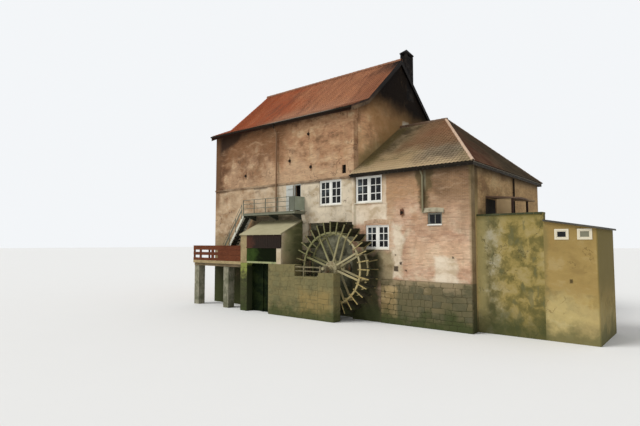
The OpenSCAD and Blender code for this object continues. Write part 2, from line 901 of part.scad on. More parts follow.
// low timber guard on the pier in front of the wheel, from its high part to a post on the raised block:
// posts by their left side, rails as [height over the raised block, thickness]
guard_post = 80;
guard_x = [-2360, -1060];
guard_in = 20;
guard_h = 380;
guard_rails = [[30, 60], [260, 80]];
module wheel_guard() {
  p = guard_post;
  y = pier_front + guard_in;
  z = pier_z + pedestal_h;
  color("peru") placed() {
    block(guard_x[0], guard_x[0] + p, y, y + p, pier_z, z + guard_h);
    block(guard_x[1], guard_x[1] + p, y, y + p, z, z + guard_h);
    for (k = guard_rails)
      block(pier_left + pier_high_l, guard_x[1] + p, y + guard_in, y + p - guard_in,
        z + k[0], z + k[0] + k[1]);
  }
}

module wheel_axis() { translate([-wheel_x, 0, wheel_z]) children(); }
module disc(y0, y1, r) { translate([0, y0, 0]) rotate([-90, 0, 0]) cylinder(r = r, h = y1 - y0); }

shaft_near = pier_front + 60;
shaft_far = wall_t + 150;
// the thick part of the shaft ends this far short of the wall, and starts this far behind the pier
shaft_step = 100;
shaft_start = 40;
// outer bearing: half width of foot and body, their half depths and the height of the foot
bearing_foot = 260;
bearing_r = 170;
bearing_foot_d = 200;
bearing_d = 150;
foot_h = 60;
plate_r = 420;
plate_t = 70;
module wheel_bearings() {
  b = journal_r + journal_gap;
  yc = (pier_front + pier_in) / 2;
  zb = pier_z + pedestal_h - wheel_z;
  color("dimgray") placed() wheel_axis() {
    difference() {
      union() {
        block(-bearing_foot, bearing_foot, yc - bearing_foot_d, yc + bearing_foot_d, zb, zb + foot_h);
        block(-bearing_r, bearing_r, yc - bearing_d, yc + bearing_d, zb + foot_h, 0);
        disc(yc - bearing_d, yc + bearing_d, bearing_r);
      }
      disc(yc - bearing_foot_d - cut, yc + bearing_foot_d + cut, b);
    }
    difference() {
      disc(recess_t - plate_t, recess_t, plate_r);
      disc(recess_t - plate_t - cut, recess_t + cut, b);
    }
  }
}

module wheel_shaft() {
  color("gray") placed() wheel_axis() {
    disc(shaft_near, pier_in + shaft_start, journal_r);
    disc(pier_in + shaft_start, recess_t - shaft_step, shaft_r);
    disc(recess_t - shaft_step, shaft_far, journal_r);
  }
}

ring_near = wheel_near + arm_t;
ring_far = wheel_far - arm_t - ring_t;
spoke_near = ring_near + ring_t;
spoke_far = ring_far - spoke_t;
// spokes start this far outside the shaft and end this far inside the ring's outer edge
spoke_in = 60;
spoke_end = 10;
// the spokes stand off the float arms by this share of a spoke's turn
spoke_turn = 0.4;
tie_r = 30;
tie_in = 60;
// float arms: width, lap over the ring and distance of their tips from the wheel's edge
arm_w = 60;
arm_lap = 60;
arm_tip = 30;
// float boards: gap to the ring and to the wheel's edge
float_in = 70;
float_tip = 5;

module turned(i, n) { rotate([0, i * 360 / n, 0]) children(); }

module wheel_hubs() {
  color("gray") placed() wheel_axis() for (y = [ring_near, ring_far]) difference() {
    disc(y, y + ring_t, hub_r);
    disc(y - cut, y + ring_t + cut, shaft_r);
  }
}

module wheel_spokes() {
  color("khaki") placed() wheel_axis() for (y = [spoke_near, spoke_far], i = [0:spokes - 1])
    turned(i + spoke_turn, spokes)
      block(shaft_r + spoke_in, ring_r - spoke_end, y, y + spoke_t, -spoke_w / 2, spoke_w / 2);
}

module wheel_rings() {
  color("khaki") placed() wheel_axis() {
    for (y = [ring_near, ring_far]) difference() {
      disc(y, y + ring_t, ring_r, $fn = 96);
      disc(y - cut, y + ring_t + cut, ring_r - ring_h, $fn = 96);
    }
    for (i = [0:spokes - 1]) turned(i + spoke_turn, spokes) translate([ring_r - tie_in, 0, 0])
      disc(spoke_near + spoke_t, spoke_far, tie_r, $fn = 12);
  }
}

module float_arms() {
  color("khaki") placed() wheel_axis() for (y = [wheel_near, wheel_far - arm_t], i = [0:floats - 1])
    turned(i, floats)
      block(ring_r - ring_h - arm_lap, tip_r - arm_tip, y, y + arm_t, -arm_w / 2, arm_w / 2);
}

module wheel_floats() {
  color("darkslategray") placed() wheel_axis() for (i = [0:floats - 1])
    turned(i, floats)
      block(ring_r + float_in, tip_r - float_tip, wheel_near, wheel_far, arm_w / 2, arm_w / 2 + board_t);
}

module annex_front_wall() {
  color("rosybrown") placed() {
    difference() {
      intersection() {
        block(0, annex_r, annex_f, annex_f + wall_t, 0, annex_ridge_z);
        annex_body(annex_roof_t, 0);
      }
      for (w = [upper_win, lower_win, small_win]) win_cut(w, annex_f - cut, annex_f + wall_t + cut);
    }
    block(plinth_x, annex_r, annex_f - plinth_out, annex_f, 0, plinth_h);
  }
}

module annex_back_wall() {
  color("rosybrown") placed() difference() {
    intersection() {
      block(0, annex_r, annex_b - wall_t, annex_b, 0, annex_ridge_z);
      annex_body(annex_roof_t, 0);
    }
    for (w = [upper_win, lower_win]) win_cut(w, annex_b - wall_t - cut, annex_b + cut);
  }
}

module annex_right_wall() {
  color("rosybrown") placed() intersection() {
    block(annex_r - wall_t, annex_r, annex_f + wall_t, annex_b - wall_t, 0, annex_ridge_z);
    annex_body(annex_roof_t, 0);
  }
}

module annex_shell() {
  difference() {
    annex_body(0, annex_eave_z - annex_roof_t);
    annex_body(annex_roof_t, 0);
  }
}

// part of the plan under each slope
module annex_part(points) {
  intersection() {
    annex_shell();
    linear_extrude(2 * annex_ridge_z) polygon(points);
  }
}

hip_x = annex_r + annex_over;
// ridge and hip tiles: start of the hip as a share of its length, half width and height
hip_start = 0.012;
hip_w = 170;
hip_h = 50;
hip_crown = 60;
ridge_lap = 100;
annex_half = annex_mid - annex_f + annex_over;
module annex_roof_front() {
  color("gray") placed() annex_part([[0, annex_f - annex_over], [hip_x, annex_f - annex_over],
    [annex_ridge_l, annex_mid], [0, annex_mid]]);
}

module annex_roof_back() {
  color("gray") placed() annex_part([[0, annex_mid], [annex_ridge_l, annex_mid],
    [hip_x, annex_b + annex_over], [0, annex_b + annex_over]]);
}

module annex_roof_hip() {
  color("gray") placed() annex_part([[annex_ridge_l, annex_mid], [hip_x, annex_f - annex_over],
    [hip_x, annex_b + annex_over]]);
}

// a point of the front hip, t from 0 at the eaves corner to 1 at the ridge
function hip_at(t) = [hip_x + (annex_ridge_l - hip_x) * t,
  annex_mid - annex_half * (1 - t), annex_eave_z + annex_ridge_up * t];
function hip_profile(p) = [p + [-hip_w, 0, seat], p + [0, 0, seat], p + [0, hip_w, seat],
  p + [0, hip_w, hip_h], p + [0, 0, 2 * hip_h], p + [-hip_w, 0, hip_h]];

module hip_tiles() {
  hip_end = 1 - (hip_w + 2) / annex_half;
  polyhedron(points = concat(hip_profile(hip_at(hip_start)), hip_profile(hip_at(hip_end))),
    faces = [[0, 1, 7, 6], [1, 2, 8, 7], [2, 3, 9, 8], [3, 4, 10, 9], [4, 5, 11, 10], [5, 0, 6, 11],
      [1, 0, 5, 4], [2, 1, 4, 3], [6, 7, 10, 11], [7, 8, 9, 10]]);
}

module annex_ridge_tiles() {
  fall = hip_w * annex_ridge_up / annex_half;
  color("peru") placed() {
    translate([0, annex_mid, annex_ridge_z + seat]) along_x(0, annex_ridge_l + ridge_lap)
      polygon([[0, 0], [-hip_w, -fall], [-hip_w, hip_h - fall], [-hip_crown, hip_h], [hip_crown, hip_h],
        [hip_w, hip_h - fall], [hip_w, -fall]]);
    hip_tiles();
    translate([0, 2 * annex_mid, 0]) mirror([0, 1, 0]) hip_tiles();
  }
}

// posts and panel of the shelter: place of the posts from its outer edge, and of the panel from the annex
shelter_post = 100;
shelter_post_in = 450;
shelter_post_y = 40;
panel_in = 570;
panel_y = 60;
panel_t = 30;
panel_drop = 300;
shelter_post_x = annex_r + shelter_w - shelter_post_in;
function shelter_z(x) = shelter_top - (x - annex_r) * shelter_fall / shelter_w;

module shelter_roof() {
  xe = annex_r + shelter_w;
  color("gainsboro") placed() along_y(shelter_y, shelter_y + shelter_d)
    polygon([[annex_r, shelter_z(annex_r) - shelter_t], [annex_r, shelter_z(annex_r)],
      [xe, shelter_z(xe)], [xe, shelter_z(xe) - shelter_t]]);
}

module shelter_posts() {
  p = shelter_post;
  x = shelter_post_x;
  color("saddlebrown") placed()
    for (y = [shelter_y + shelter_post_y, shelter_y + shelter_d - shelter_post_y - p])
      block(x, x + p, y, y + p, 0, shelter_z(x + p) - shelter_t);
}

module shelter_panel() {
  color("gainsboro") placed()
    block(annex_r + panel_in, shelter_post_x, shelter_y + panel_y, shelter_y + panel_y + panel_t,
      garden_z - panel_drop, shelter_z(shelter_post_x) - shelter_t);
}

coping_h = 90;
coping_out = 40;
module garden_wall() {
  z = garden_z - coping_h;
  color("darkkhaki") placed() {
    block(annex_r, garden_r, garden_y, garden_y + garden_t, 0, z);
    block(annex_r, garden_r, garden_y - coping_out, garden_y + garden_t + coping_out, z, garden_z);
  }
}

// the tower's outline under its sloping roof, moved up by lift
module tower_top(lift) {
  along_y(garden_y, garden_y + tower_d)
    polygon([[garden_r, 0], [garden_r, tower_z + lift], [tower_r, tower_z - tower_fall + lift],
      [tower_r, 0]]);
}

module tower_walls() {
  color("tan") placed() difference() {
    tower_top(-tower_roof_t);
    block(garden_r + tower_t, tower_r - tower_t, garden_y + tower_t, garden_y + tower_d - tower_t,
      -cut, tower_z);
    for (w = tower_wins) win_cut(w, garden_y - cut, garden_y + tower_t + cut);
  }
}

module tower_roof() {
  o = tower_over;
  low = tower_z - tower_fall - o * tower_fall / tower_w;
  color("dimgray") placed() along_y(garden_y - o, garden_y + tower_d + o)
    polygon([[garden_r, tower_z - tower_roof_t], [garden_r, tower_z], [tower_r + o, low],
      [tower_r + o, low - tower_roof_t]]);
}

house_front_wall_left();
house_front_wall_right();
house_recess_wall();
house_door_bay();
house_back_wall();
house_left_gable();
house_right_gable();
house_roof_front();
house_roof_back();
house_ridge();
verge_boards();
gutters();
downpipes();
wall_anchors();
floors();
chimney_stack();
chimney_cap();
window_frames();
window_glass();
landing_door();
landing_floor();
landing_brackets();
landing_railing();
landing_end_railing();
stair_stringers();
stair_treads();
stair_railing();
bridge_deck();
bridge_posts();
bridge_parapet();
sluice_pier();
sluice_gate();
sluice_lintel();
breast_wall();
timber_housing();
housing_side_wall();
canopy_roof();
wheel_pier();
race_end_wall();
wheel_guard();
wheel_bearings();
wheel_shaft();
wheel_hubs();
wheel_spokes();
wheel_rings();
float_arms();
wheel_floats();
annex_front_wall();
annex_back_wall();
annex_right_wall();
annex_roof_front();
annex_roof_back();
annex_roof_hip();
annex_ridge_tiles();
shelter_roof();
shelter_posts();
shelter_panel();
garden_wall();
tower_walls();
tower_roof();
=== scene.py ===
"""Looks of the watermill: tiled roofs, masonry, timber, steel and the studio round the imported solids."""
import json
import math
import random

import bmesh
import bpy
from bpy.props import FloatProperty, FloatVectorProperty, PointerProperty
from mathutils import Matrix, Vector, noise


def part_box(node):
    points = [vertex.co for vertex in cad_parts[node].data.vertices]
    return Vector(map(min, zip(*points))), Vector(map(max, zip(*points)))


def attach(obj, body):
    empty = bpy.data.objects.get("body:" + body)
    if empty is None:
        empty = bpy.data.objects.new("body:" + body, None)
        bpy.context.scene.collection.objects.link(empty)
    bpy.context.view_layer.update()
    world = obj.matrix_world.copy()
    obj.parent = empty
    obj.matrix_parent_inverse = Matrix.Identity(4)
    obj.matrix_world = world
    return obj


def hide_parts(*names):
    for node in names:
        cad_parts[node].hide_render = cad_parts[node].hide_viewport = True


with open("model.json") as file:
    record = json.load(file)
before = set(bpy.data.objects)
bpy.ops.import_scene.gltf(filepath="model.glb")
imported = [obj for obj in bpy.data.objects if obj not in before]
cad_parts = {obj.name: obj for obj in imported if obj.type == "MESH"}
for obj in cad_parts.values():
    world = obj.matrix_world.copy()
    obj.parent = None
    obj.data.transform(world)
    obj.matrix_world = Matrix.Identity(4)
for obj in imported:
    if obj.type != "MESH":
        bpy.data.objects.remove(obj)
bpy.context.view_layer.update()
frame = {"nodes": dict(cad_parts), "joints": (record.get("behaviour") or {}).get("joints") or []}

bl_info = {
    "name": "Watermill",
    "version": (1, 0, 0),
    "blender": (4, 5, 0),
    "location": "View3D > Sidebar > Watermill",
    "description": "Builds the visible pieces and finishes of the watermill round its solids",
    "category": "Add Mesh",
}

# the front right corner of the tall house at the water line; all places below are measured from it
CORNER = Vector((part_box("house_right_gable")[1].x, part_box("landing_floor")[1].y, 0.0))
WHEEL_AXIS = Vector(frame["joints"][0]["pos_m"]) - CORNER
FAR = 99.0
UP, RIGHT, BACK = Vector((0, 0, 1)), Vector((1, 0, 0)), Vector((0, 1, 0))

# left, width, sill height, height and outer frame face of each window
HOUSE_WINDOW = (-2.76, 1.80, 6.93, 1.62, 0.06)
UPPER_WINDOW = (0.24, 1.89, 6.91, 1.60, -0.12)
LOWER_WINDOW = (0.96, 1.62, 4.18, 1.40, -0.12)
LARGE_WINDOWS = (HOUSE_WINDOW, UPPER_WINDOW, LOWER_WINDOW)
SMALL_WINDOW = (4.99, 0.84, 5.47, 0.69, -0.12)
TOWER_WINDOWS = ((11.109, 0.60, 4.69, 0.49, 0.475), (12.059, 0.60, 4.69, 0.49, 0.475))
SLOT_WINDOW = (-0.91, 0.31, 8.88, 0.54)
FRAME_FACE, PANE_INSET = 0.075, 0.043
# place along the wall and height of the anchor irons, the last one with a plate
ANCHORS = ((-9.92, 9.53), (-5.40, 10.16), (-3.48, 9.55), (-3.69, 11.79), (3.45, 6.23))
# lowest and highest corner, softness, raggedness and strength of the plaster patches of the annex
ANNEX_PATCHES = (((-1.0, -FAR, 5.62), (2.5, FAR, 6.92), 0.16, 0.22, 0.80),
                 ((2.70, -FAR, 2.50), (3.55, FAR, 5.7), 0.22, 0.50, 0.85),
                 ((-1.0, -FAR, 6.4), (0.26, FAR, 8.8), 0.05, 0.08, 0.75),
                 ((2.1, -FAR, 6.8), (2.45, FAR, 8.6), 0.08, 0.15, 0.6),
                 ((5.30, -FAR, 1.9), (6.8, FAR, 3.95), 0.22, 0.40, 0.80))
# middle and radius of the holes in the annex front
ANNEX_HOLES = ((3.33, 3.40, 0.10), (3.65, 3.02, 0.07), (3.02, 3.08, 0.17), (6.41, 3.77, 0.08),
               (3.0, 3.85, 0.06))
ANNEX_PIPE = 4.75
TALL_EAVES, ANNEX_EAVES = 12.96, 8.68
# how far in from the wall and how far up the tall roof bends, and how far its eaves stand out
BEND_IN, BEND_UP, EAVES_OUT = 1.5, 0.84, 0.38
# stretch of the grain of boards that lie along the wall, stand up or run into depth
LYING, STANDING, DEEP = (3.0, 30, 30), (30, 30, 3.0), (20, 3, 20)


def span(node):
    """Lowest and highest corner of a CAD node, measured from the house corner."""
    low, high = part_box(node)
    return low - CORNER, high - CORNER


def held(kind):
    """The settings of one kind, such as roofs or walls."""
    return getattr(bpy.context.scene, "mill_" + kind)


# Settings

def size(name, text, metres, high=30.0):
    return FloatProperty(name=name, description=text, default=metres, min=0.0005, max=high,
                         unit="LENGTH", subtype="DISTANCE")


def tint(name, text, colour):
    return FloatVectorProperty(name=name, description=text, default=colour, size=3, min=0.0,
                               max=1.0, subtype="COLOR")


def share(name, text, value):
    return FloatProperty(name=name, description=text, default=value, min=0.0, max=10.0)


class MillRoofs(bpy.types.PropertyGroup):
    """Sizes and colours of the tiled roofs."""
    tile_width: size("Tile width", "Width that one pantile covers", 0.215)
    tile_row: size("Tile row", "Height of a row of tiles up the slope", 0.30)
    tile_wave: size("Tile wave", "Height of the roll of a pantile", 0.034)
    tile_lift: size("Tile lift", "How far a tile stands over the row below", 0.026)
    cap_radius: size("Ridge tile radius", "Radius of the ridge tiles", 0.17)
    cap_length: size("Ridge tile length", "Visible length of a ridge tile", 0.38)
    hip_radius: size("Hip tile radius", "Radius of the tiles on the hips", 0.085)
    clay_red: tint("Red clay", "Redder tiles of the tall roof", (0.42, 0.108, 0.042))
    clay_brown: tint("Brown clay", "Browner tiles of the tall roof", (0.41, 0.175, 0.088))
    clay_pale: tint("Pale clay", "Bleached tiles of the tall roof", (0.46, 0.23, 0.12))
    annex_grey: tint("Old tile", "Weathered tiles of the annex", (0.255, 0.19, 0.105))
    annex_pale: tint("Pale old tile", "Paler tiles of the annex", (0.40, 0.30, 0.175))
    annex_red: tint("Red old tile", "Tiles near the hip of the annex", (0.33, 0.135, 0.075))
    hip_clay: tint("Hip clay", "Light tiles on the hips", (0.60, 0.43, 0.31))
    moss: tint("Roof moss", "Moss on the annex roof", (0.180, 0.138, 0.056))


class MillWalls(bpy.types.PropertyGroup):
    """Sizes and colours of the brick and plaster walls."""
    brick_length: size("Brick length", "Length of a brick and its joint", 0.235)
    brick_height: size("Brick height", "Height of a brick and its joint", 0.075)
    brick_dark: tint("Dark brick", "Darkest brick of the tall house", (0.22, 0.118, 0.062))
    brick_red: tint("Red brick", "Redder brick of the tall house", (0.38, 0.205, 0.110))
    brick_tan: tint("Tan brick", "Common brick of the tall house", (0.435, 0.25, 0.137))
    brick_ochre: tint("Ochre brick", "Yellower brick of the tall house", (0.48, 0.287, 0.155))
    brick_pale: tint("Pale brick", "Bleached brick of the tall house", (0.57, 0.395, 0.235))
    joint: tint("Joint", "Mortar of the tall house", (0.43, 0.29, 0.17))
    annex_brick: tint("Annex brick", "Common brick of the annex", (0.585, 0.385, 0.26))
    annex_dark: tint("Darker annex brick", "Redder brick of the annex", (0.53, 0.325, 0.210))
    annex_joint: tint("Annex joint", "Mortar of the annex", (0.56, 0.43, 0.31))
    side_brick: tint("Side brick", "Brick of the annex side wall", (0.42, 0.265, 0.120))
    beige: tint("Beige plaster", "Plaster under the stone band", (0.51, 0.36, 0.225))
    cream: tint("Cream plaster", "Plaster above the wheel", (0.70, 0.60, 0.45))
    garden: tint("Garden plaster", "Plaster of the garden wall", (0.31, 0.235, 0.074))
    tower: tint("Tower plaster", "Plaster of the small tower", (0.46, 0.33, 0.115))
    soot: tint("Soot", "Soot round the chimney", (0.006, 0.005, 0.005))
    damp: tint("Damp", "Green damp near the water", (0.050, 0.056, 0.020))
    stain: tint("Stain", "Brown and black run marks", (0.13, 0.085, 0.045))


class MillStone(bpy.types.PropertyGroup):
    """Sizes and colours of the rough stonework."""
    course: size("Stone course", "Mean height of a course of stones", 0.27)
    length: size("Stone length", "Mean length of a stone", 0.46)
    proud: size("Stone relief", "How far stones stand out of their joints", 0.022)
    ochre: tint("Ochre stone", "Stone of the wheel pier", (0.245, 0.205, 0.090))
    grey: tint("Grey stone", "Greyer stones among them", (0.165, 0.150, 0.070))
    plinth: tint("Plinth stone", "Dark stones under the annex", (0.105, 0.095, 0.055))
    lintel: tint("Lintel stone", "Pale beam over the sluice bay", (0.32, 0.34, 0.17))
    moss: tint("Wall moss", "Moss of the wet walls", (0.040, 0.055, 0.014))


class MillTimber(bpy.types.PropertyGroup):
    """Sizes and colours of boards, windows and doors."""
    board: size("Board width", "Width of a board of the housing", 0.17)
    bar: size("Glazing bar", "Width of a glazing bar", 0.042)
    sash: size("Sash", "Width of a sash frame", 0.06)
    red_board: tint("Red boards", "Boards of the parapet", (0.185, 0.058, 0.026))
    brown_board: tint("Brown boards", "Boards of the housing", (0.100, 0.036, 0.020))
    old_board: tint("Old boards", "Weathered boards and posts", (0.30, 0.22, 0.125))
    window_white: tint("Window paint", "White paint of the windows", (0.86, 0.85, 0.80))
    door_blue: tint("Door paint", "Pale paint of the door", (0.56, 0.57, 0.53))


class MillMetal(bpy.types.PropertyGroup):
    """Sizes and colours of the steel and iron."""
    bolt: size("Bolt", "Radius of a bolt head", 0.026)
    steel: tint("Landing steel", "Paint of the landing", (0.215, 0.22, 0.155))
    rail: tint("Railing steel", "Paint of the railings", (0.15, 0.16, 0.115))
    wheel: tint("Wheel paint", "Paint of rings and spokes", (0.50, 0.44, 0.26))
    arm: tint("Arm paint", "Yellower paint of the float arms", (0.42, 0.335, 0.145))
    iron: tint("Iron", "Dark iron", (0.030, 0.027, 0.022))
    zinc: tint("Zinc", "Gutters and pipes", (0.024, 0.019, 0.014))
    rust: tint("Rust", "Rust on steel", (0.17, 0.070, 0.024))


class MillStage(bpy.types.PropertyGroup):
    """Camera, floor and light."""
    lens: FloatProperty(name="Lens", description="Focal length of the camera", default=26.53,
                        min=10, max=200, unit="CAMERA")
    floor_side: size("Floor side", "Side of the square floor", 900.0, 2000.0)
    floor: tint("Floor", "Colour of the floor", (0.80, 0.80, 0.79))
    backdrop: tint("Backdrop", "Colour behind the object", (0.90, 0.92, 0.94))
    sky: share("Studio light", "Strength of the light from all sides", 0.62)
    lamp: share("Lamp", "Strength of the large soft lamp", 1.9)


GROUPS = {"mill_roofs": MillRoofs, "mill_walls": MillWalls, "mill_stone": MillStone,
          "mill_timber": MillTimber, "mill_metal": MillMetal, "mill_stage": MillStage}


# Meshes

class Shape:
    """Faces gathered for one piece, each with a tone between 0 and 1."""

    def __init__(self):
        self.points, self.faces, self.tones = [], [], []

    def add(self, points, faces, tone=0.5):
        start = len(self.points)
        self.points += [tuple(p) for p in points]
        self.faces += [[start + i for i in face] for face in faces]
        self.tones += [tone] * len(faces)

    def slab(self, start, along, across, up, tone=0.5):
        """A block from a corner and its three edges, given as vectors."""
        s, a, b, c = Vector(start), Vector(along), Vector(across), Vector(up)
        self.add([s, s + a, s + b, s + a + b, s + c, s + a + c, s + b + c, s + a + b + c],
                 [(0, 2, 3, 1), (4, 5, 7, 6), (0, 1, 5, 4), (2, 6, 7, 3), (0, 4, 6, 2), (1, 3, 7, 5)],
                 tone)

    def bar(self, low, high, tone=0.5):
        """A block between its lowest and highest corner."""
        d = Vector(high) - Vector(low)
        self.slab(low, (d.x, 0, 0), (0, d.y, 0), (0, 0, d.z), tone)

    def rod(self, start, run, radius, sides=8):
        """A round rod with flat ends."""
        s, e = Vector(start), Vector(start) + Vector(run)
        axis = (e - s).normalized()
        u = axis.cross(UP if abs(axis.z) < 0.9 else RIGHT).normalized()
        v = axis.cross(u)
        turns = [k * math.tau / sides for k in range(sides)]
        ring = [(u * math.cos(a) + v * math.sin(a)) * radius for a in turns]
        around = [(k, (k + 1) % sides, sides + (k + 1) % sides, sides + k) for k in range(sides)]
        ends = [tuple(range(sides))[::-1], tuple(range(sides, 2 * sides))]
        self.add([s + r for r in ring] + [e + r for r in ring], around + ends)

    def piece(self, name, material, slot, body="body", stands_for=(), bevel=0.0, smooth=0.0, cuts=()):
        """The piece itself, riding on its body. cuts are planes, each a point and the side cut off."""
        mesh = bpy.data.meshes.new(name)
        mesh.from_pydata([Vector(p) + CORNER for p in self.points], [], self.faces)
        mesh.attributes.new("tone", "FLOAT", "FACE").data.foreach_set("value", self.tones)
        made = bmesh.new()
        made.from_mesh(mesh)
        for point, normal in cuts:
            bmesh.ops.bisect_plane(made, geom=made.verts[:] + made.edges[:] + made.faces[:],
                                   plane_co=Vector(point) + CORNER, plane_no=normal, clear_outer=True)
        if not cuts:
            bmesh.ops.recalc_face_normals(made, faces=made.faces)
        made.to_mesh(mesh)
        made.free()
        if smooth:
            mesh.shade_smooth()
            mesh.set_sharp_from_angle(angle=smooth)
        mesh.materials.append(material)
        obj = bpy.data.objects.new(name, mesh)
        bpy.context.scene.collection.objects.link(obj)
        if bevel:
            edge = obj.modifiers.new("edges", "BEVEL")
            edge.width, edge.segments, edge.limit_method = bevel, 1, "ANGLE"
        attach(obj, body)
        if stands_for:
            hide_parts(*stands_for)


# heights across a pantile, as shares of its wave: a flat trough and a roll at the right
PANTILE = ((0.0, 0.30), (0.14, 0.07), (0.30, 0.0), (0.48, 0.08), (0.66, 0.55), (0.83, 1.0), (1.0, 0.82))


def pantiles(shape, start, top, along, length, seed, skip=None):
    """Rows of pantiles on a slope, from its lower left corner up to the point above it."""
    s, rng = held("roofs"), random.Random(seed)
    slope = Vector(top) - Vector(start)
    up, height = slope.normalized(), slope.length
    normal = along.cross(up)
    columns, rows = max(1, round(length / s.tile_width)), max(1, round(height / s.tile_row))
    w, r = length / columns, height / rows
    n = len(PANTILE)
    faces = [(k, k + 1, n + k + 1, n + k) for k in range(n - 1)]
    faces += [(2 * n + k, 2 * n + k + 1, k + 1, k) for k in range(n - 1)]
    faces += [(n - 1, 3 * n - 1, 3 * n, 2 * n - 1), (2 * n, 0, n, 3 * n + 1)]
    for j in range(rows):
        for i in range(columns):
            corner = Vector(start) + along * (i * w) + up * (j * r)
            tone = rng.random()
            lift = s.tile_lift + rng.uniform(-0.004, 0.005)
            turn = rng.uniform(-0.012, 0.012)
            if skip and skip(corner + along * (w / 2) + up * (r / 2)):
                continue
            edge = [corner + along * (t * w) + up * (turn * t * w - 0.01) + normal * (h * s.tile_wave)
                    for t, h in PANTILE]
            low = [p + normal * lift for p in edge]
            high = [p + up * (r + 0.02) + normal * 0.002 for p in edge]
            under = [p - normal * (0.6 * s.tile_lift) for p in low]
            ends = [high[-1] - normal * 0.002, high[0] - normal * 0.002]
            shape.add(low + high + under + ends, faces, tone)
    return shape


def caps(start, end, radius, sink, seed):
    """Half round tiles laid one over the next along a ridge or hip."""
    shape, rng = Shape(), random.Random(seed)
    s, e = Vector(start), Vector(end)
    axis = (e - s).normalized()
    side = axis.cross(UP).normalized()
    lift = side.cross(axis)
    count = max(1, round((e - s).length / held("roofs").cap_length))
    step = (e - s) / count
    arc = [math.radians(a) for a in (-100, -72, -45, -22, 0, 22, 45, 72, 100)]
    m = len(arc)
    # corners of the faces: outside, inside, lower end and upper end
    corners = ((0, 1, 2 * m + 1, 2 * m), (m + 1, m, 3 * m, 3 * m + 1), (1, 0, m, m + 1),
               (2 * m, 2 * m + 1, 3 * m + 1, 3 * m))
    faces = [tuple(q + c for c in face) for face in corners for q in range(m - 1)]
    faces += [(0, 2 * m, 3 * m, m), (m - 1, 2 * m - 1, 4 * m - 1, 3 * m - 1)]
    for k in range(count):
        at = s + step * k - lift * sink + side * rng.uniform(-0.006, 0.006)
        rings = []
        for place, grow in ((at, 1.07), (at + step * 1.04, 0.96)):
            for r in (radius * grow, radius * grow - 0.018):
                rings += [place + (side * math.sin(a) + lift * math.cos(a)) * r for a in arc]
        shape.add(rings, faces, rng.random())
    return shape


def stones(shape, start, along, up, length, height, seed, course=None, block=None, proud=None):
    """Rubble on a wall face: uneven courses of rounded stones, each a pillow of its own."""
    s, rng = held("stone"), random.Random(seed)
    course, block, proud = course or s.course, block or s.length, proud or s.proud
    along, up, start = Vector(along), Vector(up), Vector(start)
    out = along.cross(up)
    # the noise has a seed of its own, without which it changes from run to run
    noise.seed_set(seed)
    joint, border, sway, fine_sway, sunk = 0.006, 0.16, 0.075, 0.012, -0.004
    faces = [(r + k, r + (k + 1) % 8, r + 8 + (k + 1) % 8, r + 8 + k) for r in (0, 8) for k in range(8)]
    faces += [(16 + k, 16 + (k + 1) % 8, 24) for k in range(8)]

    def bent(u, v):
        """The point pushed about a little, but not at the rim of the face."""
        hold = max(0.0, min(1.0, u / border, (length - u) / border, v / border, (height - v) / border))
        push = noise.noise_vector(Vector((1.5 * u + seed, 1.8 * v, seed)))
        fine = noise.noise_vector(Vector((6.0 * u, 6.0 * v, seed + 0.5)))
        return Vector((u + hold * (sway * 1.5 * push.x + fine_sway * fine.x),
                       v + hold * (sway * push.y + fine_sway * fine.y)))

    z = 0.0
    while z < height - 0.04:
        h = min(course * rng.uniform(0.65, 1.4), height - z)
        if height - z - h < 0.5 * course:
            h = height - z
        x = 0.0
        while x < length - 0.02:
            w = min(block * rng.uniform(0.45, 1.6), length - x)
            if length - x - w < 0.4 * block:
                w = length - x
            x0, x1, z0, z1 = x + joint, x + w - joint, z + joint, z + h - joint
            c = [rng.uniform(0.05, 0.24) * min(w, h) for _ in range(4)]
            outline = [(x0 + c[0], z0), (x1 - c[1], z0), (x1, z0 + c[1]), (x1, z1 - c[2]),
                       (x1 - c[2], z1), (x0 + c[3], z1), (x0, z1 - c[3]), (x0, z0 + c[0])]
            outline = [bent(*p) for p in outline]
            middle = bent(x + w / 2, z + h / 2)
            tone, push = rng.random(), proud * rng.uniform(0.45, 1.0)
            tilt = [rng.uniform(0.75, 1.1) for _ in outline]
            rings = []
            for inset, rise in ((0.0, 0.0), (0.012, 0.65), (0.045, 1.0)):
                for p, t in zip(outline, tilt):
                    to = middle - p
                    q = p + to.normalized() * min(inset, to.length * 0.45)
                    level = rise * push * t if rise else sunk
                    rings.append(start + along * q.x + up * q.y + out * level)
            rings.append(start + along * middle.x + up * middle.y + out * push * 1.12)
            shape.add(rings, faces, tone)
            x += w
        z += h
    return shape


def boards(shape, start, along, up, length, height, width, depth, seed, gap=0.008, lean=0.0):
    """Boards side by side, each as long as height; they stand out by depth."""
    rng = random.Random(seed)
    along, up = Vector(along), Vector(up)
    out = along.cross(up).normalized()
    count = max(1, round(length / width))
    w = length / count
    for k in range(count):
        push = depth * rng.uniform(0.75, 1.0)
        low = Vector(start) + along * (k * w + gap / 2) + up * rng.uniform(0, lean)
        shape.slab(low, along * (w - gap), up * (height - rng.uniform(0, lean)), out * push, rng.random())
    return shape


# Shader nodes

